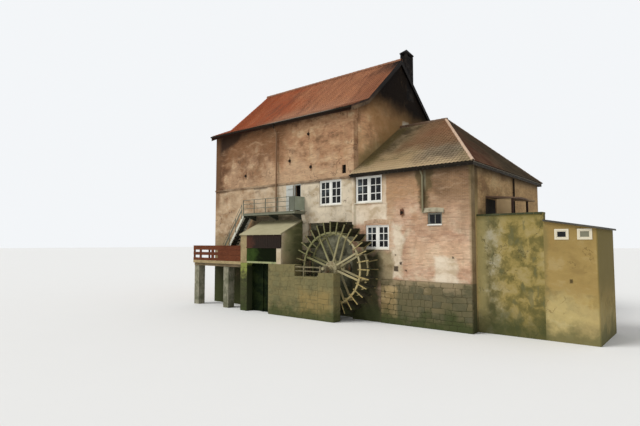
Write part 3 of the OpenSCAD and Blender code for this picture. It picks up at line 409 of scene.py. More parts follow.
class Net:
    """Adds nodes to one shader tree and links them."""

    def __init__(self, tree):
        self.tree = tree

    def feed(self, socket, value):
        if isinstance(value, bpy.types.NodeSocket):
            self.tree.links.new(value, socket)
        elif value is not None:
            if socket.type == "RGBA" and len(value) == 3:
                value = (*value, 1.0)
            socket.default_value = value

    def node(self, kind, sockets=None, **settings):
        made = self.tree.nodes.new("ShaderNode" + kind)
        for key, value in settings.items():
            setattr(made, key, value)
        for key, value in (sockets or {}).items():
            self.feed(made.inputs[key], value)
        return made

    def sum(self, operation, a, b=None, c=None):
        return self.node("Math", {0: a, 1: b, 2: c}, operation=operation).outputs[0]

    def times(self, first, *others):
        for value in others:
            first = self.sum("MULTIPLY", first, value)
        return first

    def add(self, value, factor, base):
        """The value times the factor, added to the base."""
        return self.sum("MULTIPLY_ADD", value, factor, base)

    def less(self, a, b):
        return self.sum("SUBTRACT", a, b)

    def swing(self, source, reach, base):
        """The base pushed about by a noise, at most half of reach each way."""
        return self.add(self.less(source, 0.5), reach, base)

    def off(self, value, place):
        """How far the value is from a place, either way."""
        return self.sum("ABSOLUTE", self.less(value, place))

    def most(self, first, *others):
        """The highest of the values."""
        for value in others:
            first = self.sum("MAXIMUM", first, value)
        return first

    def vector(self, operation, a, b=None):
        return self.node("VectorMath", {0: a, 1: b}, operation=operation).outputs[0]

    def mix(self, factor, a, b, how="MIX"):
        return self.node("Mix", {0: factor, 6: a, 7: b}, data_type="RGBA", blend_type=how).outputs[2]

    def ease(self, value, low, high, first=0.0, last=1.0):
        """The value eased from first at low to last at high."""
        return self.node("MapRange", {0: value, 1: low, 2: high, 3: first, 4: last},
                         interpolation_type="SMOOTHSTEP").outputs[0]

    def ramp(self, value, *stops):
        """Colours along a value between 0 and 1, each stop a place and a colour."""
        made = self.node("ValToRGB", {0: value})
        bar = made.color_ramp.elements
        bar[0].position, bar[1].position = stops[0][0], stops[-1][0]
        bar[0].color, bar[1].color = (*stops[0][1], 1.0), (*stops[-1][1], 1.0)
        for place, colour in stops[1:-1]:
            bar.new(place).color = (*colour, 1.0)
        return made.outputs["Color"]

    def noise(self, place, scale, detail=4.0, rough=0.55, output=0):
        return self.node("TexNoise", {"Vector": place, "Scale": scale, "Detail": detail,
                                      "Roughness": rough}).outputs[output]

    def drawn(self, place, stretch, detail, rough=0.55):
        """A noise of its own scale along each axis."""
        return self.noise(self.vector("MULTIPLY", place, stretch), 1.0, detail, rough)

    def stray(self, place, scale, detail, reach):
        """The place pushed about by a noise, at most half of reach each way."""
        push = self.vector("SUBTRACT", self.noise(place, scale, detail, 0.6, 1), (0.5, 0.5, 0.5))
        return self.vector("ADD", place, self.vector("MULTIPLY", push, (reach, reach, reach)))

    def parts(self, vector):
        return self.node("SeparateXYZ", {0: vector}).outputs


class Group(Net):
    """A shader node group with named sockets; inputs are given with their defaults, None for places."""

    def __init__(self, name, outputs, **inputs):
        super().__init__(bpy.data.node_groups.new(name, "ShaderNodeTree"))
        for label, value in inputs.items():
            kind = "Float" if isinstance(value, float) else "Vector"
            self.socket(label.replace("_", " "), "INPUT", kind, value)
        for label in outputs.split():
            self.socket(label, "OUTPUT", "Vector" if label in ("Place", "Flat") else "Float")
        self.given = self.tree.nodes.new("NodeGroupInput").outputs
        self.result = self.tree.nodes.new("NodeGroupOutput").inputs

    def socket(self, label, way, kind, value=None):
        made = self.tree.interface.new_socket(label, in_out=way, socket_type="NodeSocket" + kind)
        if value is not None:
            made.default_value = value

    def give(self, label, value):
        self.feed(self.result[label], value)


def group_place():
    """Places measured from the house corner, and the same unrolled along the walls."""
    g = Group("mill_place", "Place Flat")
    coords = g.node("TexCoord").outputs
    place = g.vector("SUBTRACT", coords["Object"], CORNER)
    x, y, z = g.parts(place)
    nx, ny, nz = g.parts(g.vector("ABSOLUTE", coords["Normal"]))
    sideways, lying = g.sum("GREATER_THAN", nx, ny), g.sum("GREATER_THAN", nz, 0.8)
    across = g.sum("ADD", x, g.times(sideways, g.less(y, x)))
    rise = g.sum("ADD", z, g.times(lying, g.less(y, z)))
    g.give("Place", place)
    g.give("Flat", g.node("CombineXYZ", {0: across, 1: rise, 2: 0.0}).outputs[0])


def group_bricks():
    """Bricks in bond: how dark each one is, where the joints are, and the relief."""
    g = Group("mill_bricks", "Tone Joint Height", Flat=None, Length=0.235, Row=0.075)
    flat = g.vector("MULTIPLY", g.stray(g.given["Flat"], 2.5, 3.0, 0.022), (1.0, 1.0, 0.0))
    wall = g.node("TexBrick", {"Vector": flat, "Color1": (0, 0, 0), "Color2": (1, 1, 1),
                               "Mortar": (0.5, 0.5, 0.5), "Scale": 1.0, "Mortar Size": 0.0075,
                               "Mortar Smooth": 0.5, "Bias": 0.0, "Brick Width": g.given["Length"],
                               "Row Height": g.given["Row"]}).outputs
    grit = g.noise(flat, 22.0, 4.0, 0.6)
    each = g.node("RGBToBW", {0: wall["Color"]}).outputs[0]
    g.give("Tone", g.add(grit, 0.12, g.add(each, 0.24, 0.82)))
    g.give("Joint", wall["Fac"])
    g.give("Height", g.add(grit, 0.5, g.less(1.0, wall["Fac"])))


def group_patch():
    """A box with ragged edges, to lay one colour over another in one place."""
    g = Group("mill_patch", "Mask", Place=None, Low=None, High=None, Soft=0.2, Ragged=0.5, Grain=1.5)
    given = g.given
    push = g.vector("SUBTRACT", g.noise(given["Place"], given["Grain"], 5.0, 0.65, 1), (0.5, 0.5, 0.5))
    scaled = g.node("VectorMath", {0: push, 3: g.times(given["Ragged"], 2.0)}, operation="SCALE").outputs[0]
    spot = g.vector("ADD", given["Place"], scaled)
    x, y, z = g.parts(g.vector("MINIMUM", g.vector("SUBTRACT", spot, given["Low"]),
                               g.vector("SUBTRACT", given["High"], spot)))
    depth = g.sum("MINIMUM", g.sum("MINIMUM", x, z), y)
    g.give("Mask", g.node("MapRange", {0: depth, 1: 0.0, 2: given["Soft"]}).outputs[0])


def group_weather():
    """What rain, sun and damp leave on a surface, from broad blotches to specks."""
    g = Group("mill_weather", "Blotch Mottle Smear Line Streak Speck Damp", Place=None, Damp_top=1.6)
    place, top = g.given["Place"], g.given["Damp top"]
    broad = g.noise(place, 0.5, 5.0, 0.6)
    bent = g.stray(place, 0.9, 3.0, 0.9)
    flow = g.drawn(bent, (0.5, 0.5, 2.6), 6.0, 0.66)
    run = g.drawn(bent, (2.4, 2.4, 0.36), 5.0, 0.6)
    g.give("Blotch", g.ease(broad, 0.38, 0.62))
    g.give("Mottle", g.ease(g.drawn(bent, (1.0, 1.0, 1.45), 5.0, 0.60), 0.33, 0.67))
    g.give("Smear", g.ease(flow, 0.52, 0.68))
    g.give("Line", g.ease(flow, 0.42, 0.34))
    g.give("Streak", g.times(g.ease(run, 0.52, 0.70), g.ease(broad, 0.43, 0.56)))
    g.give("Speck", g.ease(g.noise(place, 9.0, 4.0, 0.7), 0.54, 0.70))
    edge = g.add(g.less(0.5, g.noise(place, 1.3, 5.0, 0.6)), 2.4, g.parts(place)[2])
    g.give("Damp", g.ease(edge, g.times(top, 0.15), top, 1.0, 0.0))


def group_courses():
    """Wavy and broken dark lines, where courses of masonry show through."""
    g = Group("mill_courses", "Mask", Place=None, Spacing=0.3)
    place = g.given["Place"]
    z = g.add(g.drawn(place, (0.9, 0.9, 0.5), 4.0, 0.6), 0.42, g.parts(place)[2])
    line = g.ease(g.off(g.sum("FRACT", g.sum("DIVIDE", z, g.given["Spacing"])), 0.5), 0.16, 0.03)
    g.give("Mask", g.times(line, g.ease(g.noise(place, 1.5, 5.0, 0.65), 0.44, 0.58)))


def group_cracks():
    """Thin cracks that come and go."""
    g = Group("mill_cracks", "Mask", Place=None, Scale=0.7)
    line = g.ease(g.off(g.noise(g.given["Place"], g.given["Scale"], 5.0, 0.55), 0.5), 0.0085, 0.0025)
    g.give("Mask", g.times(line, g.ease(g.noise(g.given["Place"], 0.8, 2.0), 0.50, 0.56)))


def group_grain():
    """Wood grain, stretched along the board."""
    g = Group("mill_grain", "Grain Height", Place=None, Stretch=(1, 1, 1))
    fine = g.drawn(g.given["Place"], g.given["Stretch"], 6.0, 0.6)
    g.give("Grain", g.ease(fine, 0.35, 0.68))
    g.give("Height", fine)


def group_rust():
    """Rust spots under paint."""
    g = Group("mill_rust", "Mask Height", Place=None, Amount=0.3)
    edge = g.add(g.given["Amount"], -0.4, 0.72)
    g.give("Mask", g.ease(g.noise(g.given["Place"], 5.0, 7.0, 0.7), edge, g.sum("ADD", edge, 0.10)))
    g.give("Height", g.noise(g.given["Place"], 40.0, 3.0))


class Finish(Net):
    """One material in the making: a Principled surface, and the colour and relief gathered for it."""

    def __init__(self, name, roughness=0.85, specular=0.3, damp_top=1.6):
        self.material = bpy.data.materials.new(name)
        self.material.use_nodes = True
        super().__init__(self.material.node_tree)
        self.surface = self.tree.nodes["Principled BSDF"].inputs
        self.surface["Roughness"].default_value = roughness
        self.surface["Specular IOR Level"].default_value = specular
        where = self.use("mill_place")
        self.place, self.flat = where["Place"], where["Flat"]
        self.x, self.y, self.z = self.parts(self.place)
        self.worn = self.use("mill_weather", Damp_top=damp_top)
        self.mottle, self.blotch = self.worn["Mottle"], self.worn["Blotch"]
        self.color, self.height = None, None

    def use(self, name, **values):
        """The outputs of a group, fed with the place where it takes one."""
        made = self.node("Group", node_tree=bpy.data.node_groups[name])
        if "Place" in made.inputs:
            values["Place"] = self.place
        for key, value in values.items():
            self.feed(made.inputs[key.replace("_", " ")], value)
        return made.outputs

    def fade(self, value, low, high, first=0.0, last=1.0, mottle=0.0, blotch=0.0):
        """A value eased from first at low to last at high, made ragged by mottle or blotches."""
        for mask, reach in ((self.mottle, mottle), (self.blotch, blotch)):
            if reach:
                value = self.add(mask, reach, value)
        return self.ease(value, low, high, first, last)

    def spots(self, scale, detail=4.0, rough=0.55):
        return self.noise(self.place, scale, detail, rough)

    def patch(self, low, high, soft=0.2, ragged=0.5, grain=1.5):
        return self.use("mill_patch", Low=low, High=high, Soft=soft, Ragged=ragged, Grain=grain)[0]

    def tone(self):
        """The tone of each face."""
        return self.node("Attribute", attribute_name="tone").outputs["Fac"]

    def mottled(self, first, last):
        return self.mix(self.mottle, first, last)

    def lay(self, paint, strength, *masks):
        """Lays a paint over the colour where all the masks are."""
        mask = self.times(*masks)
        self.color = self.mix(mask if strength == 1.0 else self.times(mask, strength), self.color, paint)

    def wear(self, **paints):
        """Lays paints over the colour by the weather's masks."""
        for mask, (paint, strength) in paints.items():
            self.lay(paint, strength, self.worn[mask])

    def bricks(self, joint=None, strength=0.0):
        """Shades the colour brick by brick, paints the joints and takes the relief of the bond."""
        s = held("walls")
        wall = self.use("mill_bricks", Flat=self.flat, Length=s.brick_length, Row=s.brick_height)
        tone = wall["Tone"]
        grey = self.node("CombineColor", {0: tone, 1: tone, 2: tone}).outputs[0]
        self.color = self.mix(1.0, self.color, grey, "MULTIPLY")
        if joint:
            self.lay(joint, strength, wall["Joint"])
        self.height = wall["Height"]

    def smooth(self, mask, level=1.0):
        """Turns the relief smooth where the mask is."""
        self.height = self.add(self.height, self.less(1.0, mask), self.times(mask, level))

    def carve(self, paint, strength, depth, mask):
        """Paints and sinks the surface where the mask is."""
        self.lay(paint, strength, mask)
        self.height = self.less(self.height, self.times(mask, depth))

    def grained(self, stretch, base, dark):
        """Takes colour and relief from wood grain."""
        grain = self.use("mill_grain", Stretch=stretch)
        self.color, self.height = self.mix(grain["Grain"], base, dark), grain["Height"]

    def rusted(self, amount):
        """The finished material, with rust spots."""
        rust = self.use("mill_rust", Amount=amount)
        self.lay(held("metal").rust, 1.0, rust["Mask"])
        return self.done(0.002, 0.35, rust["Height"])

    def done(self, depth=0.012, strength=0.7, height=None):
        """The finished material, with the relief given here or gathered before, if any."""
        self.feed(self.surface["Base Color"], self.color)
        relief = self.height if height is None else height
        if relief is not None:
            bump = self.node("Bump", {"Strength": strength, "Distance": depth, "Height": relief})
            self.feed(self.surface["Normal"], bump.outputs[0])
        return self.material


def dim(colour, share_of):
    """A colour made darker or lighter."""
    return [min(1.0, part * share_of) for part in colour]


def dress(material, *nodes):
    """Gives CAD nodes a finish."""
    for name in nodes:
        obj = frame["nodes"][name]
        if not obj.material_slots:
            obj.data.materials.append(material)
        for slot in obj.material_slots:
            slot.material = material


def edges(width, *nodes):
    """Takes the sharpness off the edges of CAD nodes."""
    for name in nodes:
        edge = frame["nodes"][name].modifiers.new("edges", "BEVEL")
        edge.width, edge.segments, edge.limit_method = width, 2, "ANGLE"
        edge.angle_limit = math.radians(40)


# Finishes of the roofs

def tall_roof_clay(name, shade=1.0):
    """Clay tiles in red and brown bands, pale low down and sooty round the chimney."""
    s, f = held("roofs"), Finish(name, 0.8, 0.12)
    f.color = f.mix(f.fade(f.x, -9.5, -3.5, blotch=3.0), s.clay_red, s.clay_brown)
    f.lay(s.clay_pale, 0.35, f.mottle, f.ease(f.x, -9.5, -5.5, 0.1))
    f.lay(dim(s.clay_brown, 0.62), 0.30, f.tone())
    bands = f.drawn(f.stray(f.place, 0.8, 3.0, 0.7), (2.0, 0.20, 0.28), 5.0, 0.66)
    f.lay((0.52, 0.225, 0.105), 0.60, f.ease(bands, 0.48, 0.36))
    f.lay((0.22, 0.085, 0.046), 0.65, f.ease(bands, 0.51, 0.62))
    f.wear(Streak=((0.15, 0.062, 0.036), 0.30), Speck=((0.48, 0.29, 0.17), 0.08))
    f.lay((0.49, 0.285, 0.180), 0.62, f.ease(f.z, 15.0, 13.0), f.ease(f.x, -9.5, -7.0))
    f.lay((0.235, 0.085, 0.042), 0.7, f.ease(f.x, -2.4, -0.2))
    f.lay((0.33, 0.080, 0.027), 0.62, f.ease(f.x, -10.6, -12.6))
    f.lay((0.03, 0.02, 0.016), 0.65, f.patch((-1.9, 4.2, 12.0), (2.0, 8.6, 19.0), 1.0, 0.8, 0.9))
    f.lay((0.014, 0.010, 0.008), 0.97, f.ease(f.x, -0.5, -0.2), f.ease(f.y, 4.2, 5.6))
    # shade darkens the whole finish; the roof bed uses it as painted shade
    if shade != 1.0:
        f.color = f.mix(1.0, f.color, (shade, shade, shade), "MULTIPLY")
    return f.done(0.004, 0.5, f.spots(45.0))


def annex_roof_clay(name, hip=False):
    """Old tiles: mossy beside the gable, red near the hip, and nearly black with painted shade on the hip
    side.
    """
    s, f = held("roofs"), Finish(name, 0.9, 0.08)
    f.color = f.ramp(f.mottle, (0.0, dim(s.annex_grey, 0.55)), (0.35, s.annex_grey),
                     (0.7, dim(s.annex_pale, 0.85)), (1.0, s.annex_pale))
    f.lay(dim(s.annex_grey, 0.62), 0.18, f.tone())
    f.lay((0.47, 0.335, 0.175), 0.60, f.patch((0.5, -FAR, 8.3), (5.2, 3.0, 10.6), 1.1, 0.9, 0.8))
    worn = f.mix(f.blotch, (0.150, 0.115, 0.080), (0.235, 0.185, 0.130))
    f.lay(worn, 0.75, f.patch((3.4, -FAR, 8.2), (7.2, 3.6, 11.2), 1.0, 1.0, 1.1))
    f.lay(s.annex_red, 0.62, f.patch((2.2, -FAR, 10.3), (6.2, FAR, FAR), 1.3, 0.9, 0.8))
    f.lay((0.10, 0.092, 0.045), 0.60, f.ease(f.spots(1.6, 6.0, 0.7), 0.56, 0.66))
    lichen = f.ease(f.spots(2.3, 5.0, 0.75), 0.59, 0.67)
    f.lay((0.48, 0.40, 0.27), 0.45, lichen)
    f.lay((0.205, 0.108, 0.053), 0.66, f.patch((1.6, -FAR, 9.9), (7.2, FAR, FAR), 0.6, 0.9, 1.0))
    f.lay((0.64, 0.48, 0.29), 0.62, f.fade(f.z, 9.75, 8.95, mottle=0.5), f.ease(f.x, 7.3, 6.3))
    moss = f.mix(f.ease(lichen, 0.2, 0.9), s.moss, (0.30, 0.26, 0.15))
    f.lay(moss, 0.90, f.patch((-2.0, -FAR, 8.95), (1.05, 5.6, FAR), 0.40, 0.60, 1.3))
    f.wear(Streak=((0.10, 0.075, 0.045), 0.35))
    f.lay((0.09, 0.075, 0.05), 1.0, f.ease(f.y, 4.0, 9.0, 0.0, 0.4))
    # painted shade of the hip slope, which turns it nearly black
    if hip:
        night = f.mix(f.fade(f.y, 2.2, 6.5, blotch=1.5), (0.085, 0.032, 0.018), (0.040, 0.028, 0.016))
        f.lay(night, 1.0, f.ease(f.mottle, 0.0, 1.0, 0.97, 0.88))
    return f.done(0.006, 0.6, f.spots(30.0, 5.0, 0.65))


def cap_clay(name, base, dark):
    f = Finish(name)
    f.color = base
    f.lay(dark, 0.45, f.tone())
    f.wear(Mottle=(dim(base, 0.75), 0.4), Speck=((0.50, 0.44, 0.33), 0.3))
    return f.done(0.005, 0.5, f.spots(35.0))


# Finishes of the walls

def lay_soot(f, strength):
    """Soot of the gable, from brown at the front slope to black round the chimney."""
    reach = f.add(f.less(f.y, 3.0), 0.12, f.less(f.z, 13.0))
    loose = f.swing(f.spots(0.7, 5.0, 0.6), 1.3, reach)
    f.lay(held("walls").soot, strength, f.ease(loose, -0.5, 1.9))


def gable_marks(f):
    """Bleached brick, moss along the lower roof, painted shadow under the front verge, pale flashing and soot
    of the gable.
    """
    f.lay((0.72, 0.475, 0.250), 0.60, f.ease(f.y, 3.2, 0.1), f.ease(f.z, 12.5, 10.8))
    over = f.add(f.sum("ADD", f.y, 0.4), -0.66, f.less(f.z, 8.9))
    near = f.swing(f.spots(0.9, 5.0, 0.65), 1.6, over)
    f.lay((0.25, 0.195, 0.078), 0.70, f.ease(near, 1.1, 0.1))
    f.lay((0.385, 0.220, 0.092), 0.80, f.ease(f.add(f.y, 0.8, f.z), 12.4, 15.0))
    # painted shadow in a band under the verge of the front slope
    below = f.less(f.add(f.y, 0.80, 12.93), f.z)
    f.lay((0.115, 0.062, 0.030), 0.85, f.ease(below, 1.6, 0.3), f.ease(f.y, 6.0, 5.2))
    lay_soot(f, 0.985)
    f.lay((0.52, 0.48, 0.38), 0.85, f.patch((-1.0, 5.95, 12.6), (1.0, 7.0, 13.30), 0.22, 0.25, 2.5))


def tall_brick(name, gable=False):
    """Brick of the tall house: plain above the stone band, plastered below it."""
    s, f = held("walls"), Finish(name, 0.92, 0.05 if gable else 0.12, 2.6)
    # the gable takes the brick colours 1.62 times lighter: painted light against the shade that the lamp
    # leaves on that side
    lift = 1.62 if gable else 1.0
    tones = ((0.0, s.brick_dark), (0.28, s.brick_red), (0.52, s.brick_tan), (0.76, s.brick_ochre),
             (1.0, s.brick_pale))
    f.color = f.ramp(f.mottle, *((place, dim(brick, lift)) for place, brick in tones))
    f.lay(dim((0.45, 0.225, 0.122), lift), 0.42, f.ease(f.spots(0.62, 4.0, 0.6), 0.50, 0.64))
    if not gable:
        front_brick(f)
    f.wear(Smear=(dim((0.55, 0.375, 0.225), lift), 0.38), Line=((0.22, 0.115, 0.06), 0.28))
    f.lay((0.24, 0.13, 0.07), 0.30, f.use("mill_courses", Spacing=0.36)[0])
    f.bricks(s.joint, 0.30)
    if gable:
        gable_marks(f)
    else:
        front_plaster(f)
    f.wear(Streak=(s.stain, 0.26), Speck=((0.18, 0.12, 0.07), 0.12), Damp=(s.damp, 0.9))
    return f.done()


def front_brick(f):
    """Rubble, dark brick under the eaves and pale brick at the left of the long front."""
    front = f.ease(f.y, 0.6, 0.3)
    f.lay(held("walls").brick_tan, 0.50, f.ease(f.y, 0.2, 0.9))
    rubble = f.ramp(f.ease(f.noise(f.stray(f.place, 1.1, 3.0, 0.8), 1.35, 5.0, 0.62), 0.34, 0.68),
                    (0.0, (0.14, 0.068, 0.036)), (0.38, (0.25, 0.130, 0.070)), (0.64, (0.37, 0.215, 0.120)),
                    (0.84, (0.46, 0.30, 0.175)), (1.0, (0.54, 0.39, 0.245)))
    f.lay(rubble, 0.85, f.fade(f.x, -7.6, -5.2, 1.0, 0.0, blotch=2.2), f.ease(f.z, 8.62, 8.70), front)
    loose = f.swing(f.blotch, 1.5, f.z)
    f.lay((0.195, 0.088, 0.039), 1.0, f.ease(loose, 9.4, 11.9), f.ease(f.x, -6.6, -4.4, 0.92, 0.10), front)
    f.lay((0.56, 0.38, 0.235), 1.0, f.ease(loose, 10.7, 9.0), f.ease(f.x, -12.7, -11.4),
          f.ease(f.x, -9.5, -6.5, 0.50, 0.72), front)
    f.lay((0.070, 0.029, 0.014), 0.88, f.fade(f.x, -11.5, -12.7, mottle=0.9), front)


def front_plaster(f):
    """Eaves shadow, painted shade at the left corner, painted shade and grime under the landing, dusty stone
    band, plaster and pock marks of the long front.
    """
    s, front = held("walls"), f.ease(f.y, 0.6, 0.3)
    loose = f.swing(f.spots(1.1, 5.0, 0.6), 1.1, f.z)
    under = f.sum("DIVIDE", f.less(loose, f.ease(f.x, -13.3, -9.0, 11.20, 12.55)), 0.6)
    f.lay((0.030, 0.016, 0.010), 0.93, f.ease(under, 0.0, 1.0), front)
    # painted shade in a dark band at the left corner
    f.lay((0.04, 0.022, 0.014), 0.8, f.fade(f.x, -13.0, -13.3, mottle=0.25), front)
    bare = f.color
    warm = f.ramp(f.mottle, (0.0, (0.32, 0.195, 0.105)), (0.4, dim(s.beige, 0.84)), (0.75, s.beige),
                  (1.0, (0.57, 0.44, 0.295)))
    cream = f.ramp(f.mottle, (0.0, (0.44, 0.345, 0.225)), (0.4, dim(s.cream, 0.84)), (1.0, s.cream))
    f.color = f.mix(f.fade(f.x, -8.8, -3.6, blotch=2.0), warm, cream)
    f.lay((0.235, 0.185, 0.085), 0.72, f.fade(f.z, 6.9, 4.2, blotch=1.2))
    f.wear(Smear=((0.66, 0.55, 0.40), 0.35), Line=((0.24, 0.17, 0.10), 0.35))
    lost = f.times(f.ease(f.spots(0.8, 7.0, 0.68), 0.585, 0.625), f.ease(f.x, -5.2, -6.2), 0.75)
    plaster = f.patch((-FAR, -FAR, -1.0), (0.5, 0.2, 8.56), 0.06, 0.06, 2.0)
    keep = f.times(plaster, f.less(1.0, lost), front)
    f.color = f.mix(keep, bare, f.color)
    f.smooth(keep, 1.1)
    dust = f.mottled((0.16, 0.10, 0.06), (0.42, 0.31, 0.20))
    f.lay(dust, 0.9, f.ease(f.off(f.z, 8.61), 0.075, 0.055), front)
    f.lay((0.12, 0.08, 0.05), 0.65, f.ease(f.off(f.z, 8.47), 0.11, 0.02), front, f.ease(f.blotch, 0.2, 0.7))
    f.lay((0.17, 0.085, 0.040), 0.75, f.ease(f.x, -12.7, -13.2), f.ease(f.z, 6.4, 8.0), front)
    f.lay((0.020, 0.026, 0.010), 0.93, f.patch((-FAR, -FAR, -1.0), (-7.9, 0.3, 3.25), 0.25, 0.25))
    # painted shade, with some grime, on the wall under the landing
    f.lay((0.060, 0.055, 0.028), 0.80, f.patch((-9.2, -FAR, 5.7), (-4.0, 0.3, 6.62), 0.30, 0.25))
    f.lay((0.09, 0.055, 0.035), 0.6, f.use("mill_cracks", Scale=0.55)[0], front)
    f.carve((0.055, 0.035, 0.024), 0.75, 0.8, f.ease(f.spots(2.3, 3.0, 0.5), 0.735, 0.77))


def wet_wall(name, base, top=6.5, green=0.8, light=0.25):
    """Masonry over and behind the water, green and dark."""
    f = Finish(name, specular=0.10, damp_top=top)
    f.color = f.ramp(f.mottle, (0.0, dim(base, 0.35)), (0.5, base), (1.0, dim(base, 1.6)))
    f.bricks()
    f.wear(Damp=(held("stone").moss, green), Streak=((0.02, 0.02, 0.01), 0.5),
           Smear=(dim(base, 1.5), 0.25), Speck=((0.16, 0.16, 0.08), light))
    return f.done()


def annex_brick(name):
    """Pink brick of the annex front, with its plaster patches, lines and run marks, and painted shade under
    the eaves and beside the wheel.
    """
    s, f = held("walls"), Finish(name, 0.92, 0.2, 2.0)
    f.color = f.ramp(f.mottle, (0.0, (0.43, 0.25, 0.155)), (0.28, s.annex_dark), (0.55, s.annex_brick),
                     (0.82, (0.61, 0.44, 0.30)), (1.0, (0.65, 0.50, 0.35)))
    f.lay((0.395, 0.222, 0.105), 0.85, f.fade(f.z, 6.2, 8.3, blotch=1.4))
    right = f.mottled((0.16, 0.088, 0.042), (0.28, 0.165, 0.085))
    f.lay(right, 0.95, f.ease(f.x, 4.8, 5.4), f.fade(f.z, 6.3, 7.3, blotch=0.8))
    f.lay((0.43, 0.275, 0.165), 0.55, f.ease(f.x, 4.4, 5.4), f.fade(f.z, 5.2, 6.6, blotch=1.0),
          f.ease(f.z, 7.3, 6.6))
    f.lay((0.74, 0.51, 0.325), 0.55, f.patch((3.6, -FAR, 3.0), (8.0, FAR, 4.9), 0.6, 0.8))
    f.wear(Smear=((0.62, 0.445, 0.29), 0.32), Line=((0.28, 0.165, 0.095), 0.28))
    f.lay((0.26, 0.15, 0.09), 0.42, f.use("mill_courses", Spacing=0.31)[0])
    f.bricks(s.annex_joint, 0.32)
    cream = f.ramp(f.mottle, (0.0, (0.52, 0.42, 0.28)), (0.5, s.cream), (1.0, (0.80, 0.70, 0.55)))
    for low, high, soft, ragged, strength in ANNEX_PATCHES:
        mask = f.times(f.patch(low, high, soft, ragged), strength)
        f.lay(cream, 1.0, mask)
        f.smooth(mask)
    f.lay((0.16, 0.13, 0.06), 0.45, f.ease(f.off(f.x, 0.20), 0.16, 0.03))
    pipe_run(f)
    # painted shadow under the annex eaves
    f.lay((0.05, 0.035, 0.022), 0.85, f.ease(f.z, 8.1, 8.6))
    corner = f.mottled((0.15, 0.112, 0.050), (0.27, 0.200, 0.105))
    f.lay(corner, 0.80, f.patch((7.28, -FAR, -1.0), (8.0, 0.9, 9.5), 0.14, 0.12))
    holes = (f.patch((x - r, -FAR, z - r), (x + r, FAR, z + r), 0.05, 0.09, 5.0) for x, z, r in ANNEX_HOLES)
    f.carve((0.045, 0.030, 0.018), 0.9, 1.5, f.most(*holes))
    strip = f.mottled((0.17, 0.150, 0.070), (0.36, 0.300, 0.165))
    f.lay(strip, 0.80, f.patch((1.5, -FAR, 2.1), (2.98, FAR, 4.15), 0.25, 0.45))
    # painted shade, with moss, on the wall beside and behind the wheel
    f.lay((0.022, 0.030, 0.009), 0.92, f.patch((-2.0, -FAR, -1.0), (2.20, FAR, 4.25), 0.50, 0.40))
    f.lay((0.022, 0.032, 0.008), 0.8, f.patch((-2.0, -FAR, -2.0), (2.3, FAR, 0.9), 0.5, 0.5))
    f.wear(Streak=(s.stain, 0.25), Speck=((0.24, 0.16, 0.09), 0.12))
    f.lay((0.115, 0.095, 0.048), 1.0, f.ease(f.z, 2.50, 2.42), f.ease(f.x, 2.0, 2.08))
    f.wear(Damp=(s.damp, 0.9))
    return f.done()


def pipe_run(f):
    """The dark V that a leaking gutter pipe leaves on the wall."""
    loose = f.swing(f.spots(1.7, 5.0, 0.65), 0.8, f.off(f.x, ANNEX_PIPE + 0.08))
    inside = f.ease(f.less(f.ease(f.z, 7.0, 8.6, 0.28, 0.60), loose), -0.12, 0.15)
    f.lay(f.mottled((0.080, 0.057, 0.025), (0.155, 0.112, 0.052)), 0.92, inside, f.ease(f.z, 5.9, 6.7))
    f.lay((0.27, 0.25, 0.16), 0.8, f.ease(f.off(f.x, ANNEX_PIPE + 0.10), 0.12, 0.03), f.ease(f.z, 7.2, 7.9))


def side_brick(name):
    """Ochre brown side and back of the annex, with painted shade under the eaves and under the shelter."""
    s, f = held("walls"), Finish(name, 0.92, 0.2, 2.0)
    f.color = f.ramp(f.mottle, (0.0, (0.27, 0.155, 0.070)), (0.35, dim(s.side_brick, 0.88)),
                     (0.65, dim(s.side_brick, 1.10)), (1.0, (0.54, 0.375, 0.19)))
    f.lay(s.side_brick, 0.50, f.ease(f.y, 4.8, 6.4))
    f.wear(Smear=((0.50, 0.345, 0.175), 0.36), Line=((0.20, 0.115, 0.052), 0.28))
    f.bricks(s.joint, 0.28)
    olive = f.mix(f.ease(f.z, 5.2, 8.0), (0.54, 0.41, 0.175), (0.085, 0.053, 0.020))
    f.lay(olive, 0.85, f.patch((-FAR, -1.0, -1.0), (FAR, 0.80, 8.9), 0.16, 0.16, 1.4))
    # painted shadow under the eaves
    f.lay((0.05, 0.036, 0.02), 0.8, f.ease(f.z, 7.9, 8.6))
    f.lay((0.075, 0.078, 0.025), 0.75, f.patch((7.3, 0.9, 5.2), (FAR, 4.8, 6.35), 0.30, 0.35))
    # painted shade: a nearly black patch under the shelter
    f.lay((0.006, 0.006, 0.004), 0.97, f.patch((7.3, 1.75, 5.6), (FAR, 3.35, 6.98), 0.08, 0.05))
    f.wear(Streak=(s.stain, 0.28), Speck=((0.18, 0.12, 0.06), 0.12), Damp=(s.damp, 0.9))
    return f.done()


def rough_stone(name, base, other, damp_top=1.5, wet=0.75, pale=1.45, warm=None, head=None):
    """Rubble, a tone for each stone; warm is a box of ochre stone, head the height where moss starts."""
    f = Finish(name, 0.9, 0.2, damp_top)
    f.color = f.mix(f.tone(), base, other)
    f.lay(dim(base, pale), 0.55, f.ease(f.spots(2.1, 6.0, 0.7), 0.46, 0.66))
    f.lay(dim(other, 0.55), 0.55, f.ease(f.spots(1.5, 6.0, 0.68), 0.52, 0.64))
    if warm:
        f.lay((0.31, 0.212, 0.072), 0.55, f.patch(*warm, 0.4, 0.5, 1.2))
    if head:
        f.lay((0.26, 0.285, 0.070), 0.85, f.fade(f.z, head, head + 0.6, mottle=0.5))
    f.wear(Smear=(dim(base, 1.25), 0.3), Line=(dim(other, 0.4), 0.4), Streak=((0.06, 0.055, 0.026), 0.4),
           Speck=((0.10, 0.095, 0.04), 0.25), Damp=(held("stone").moss, wet))
    return f.done(0.02, 0.7, f.spots(14.0, 7.0, 0.65))


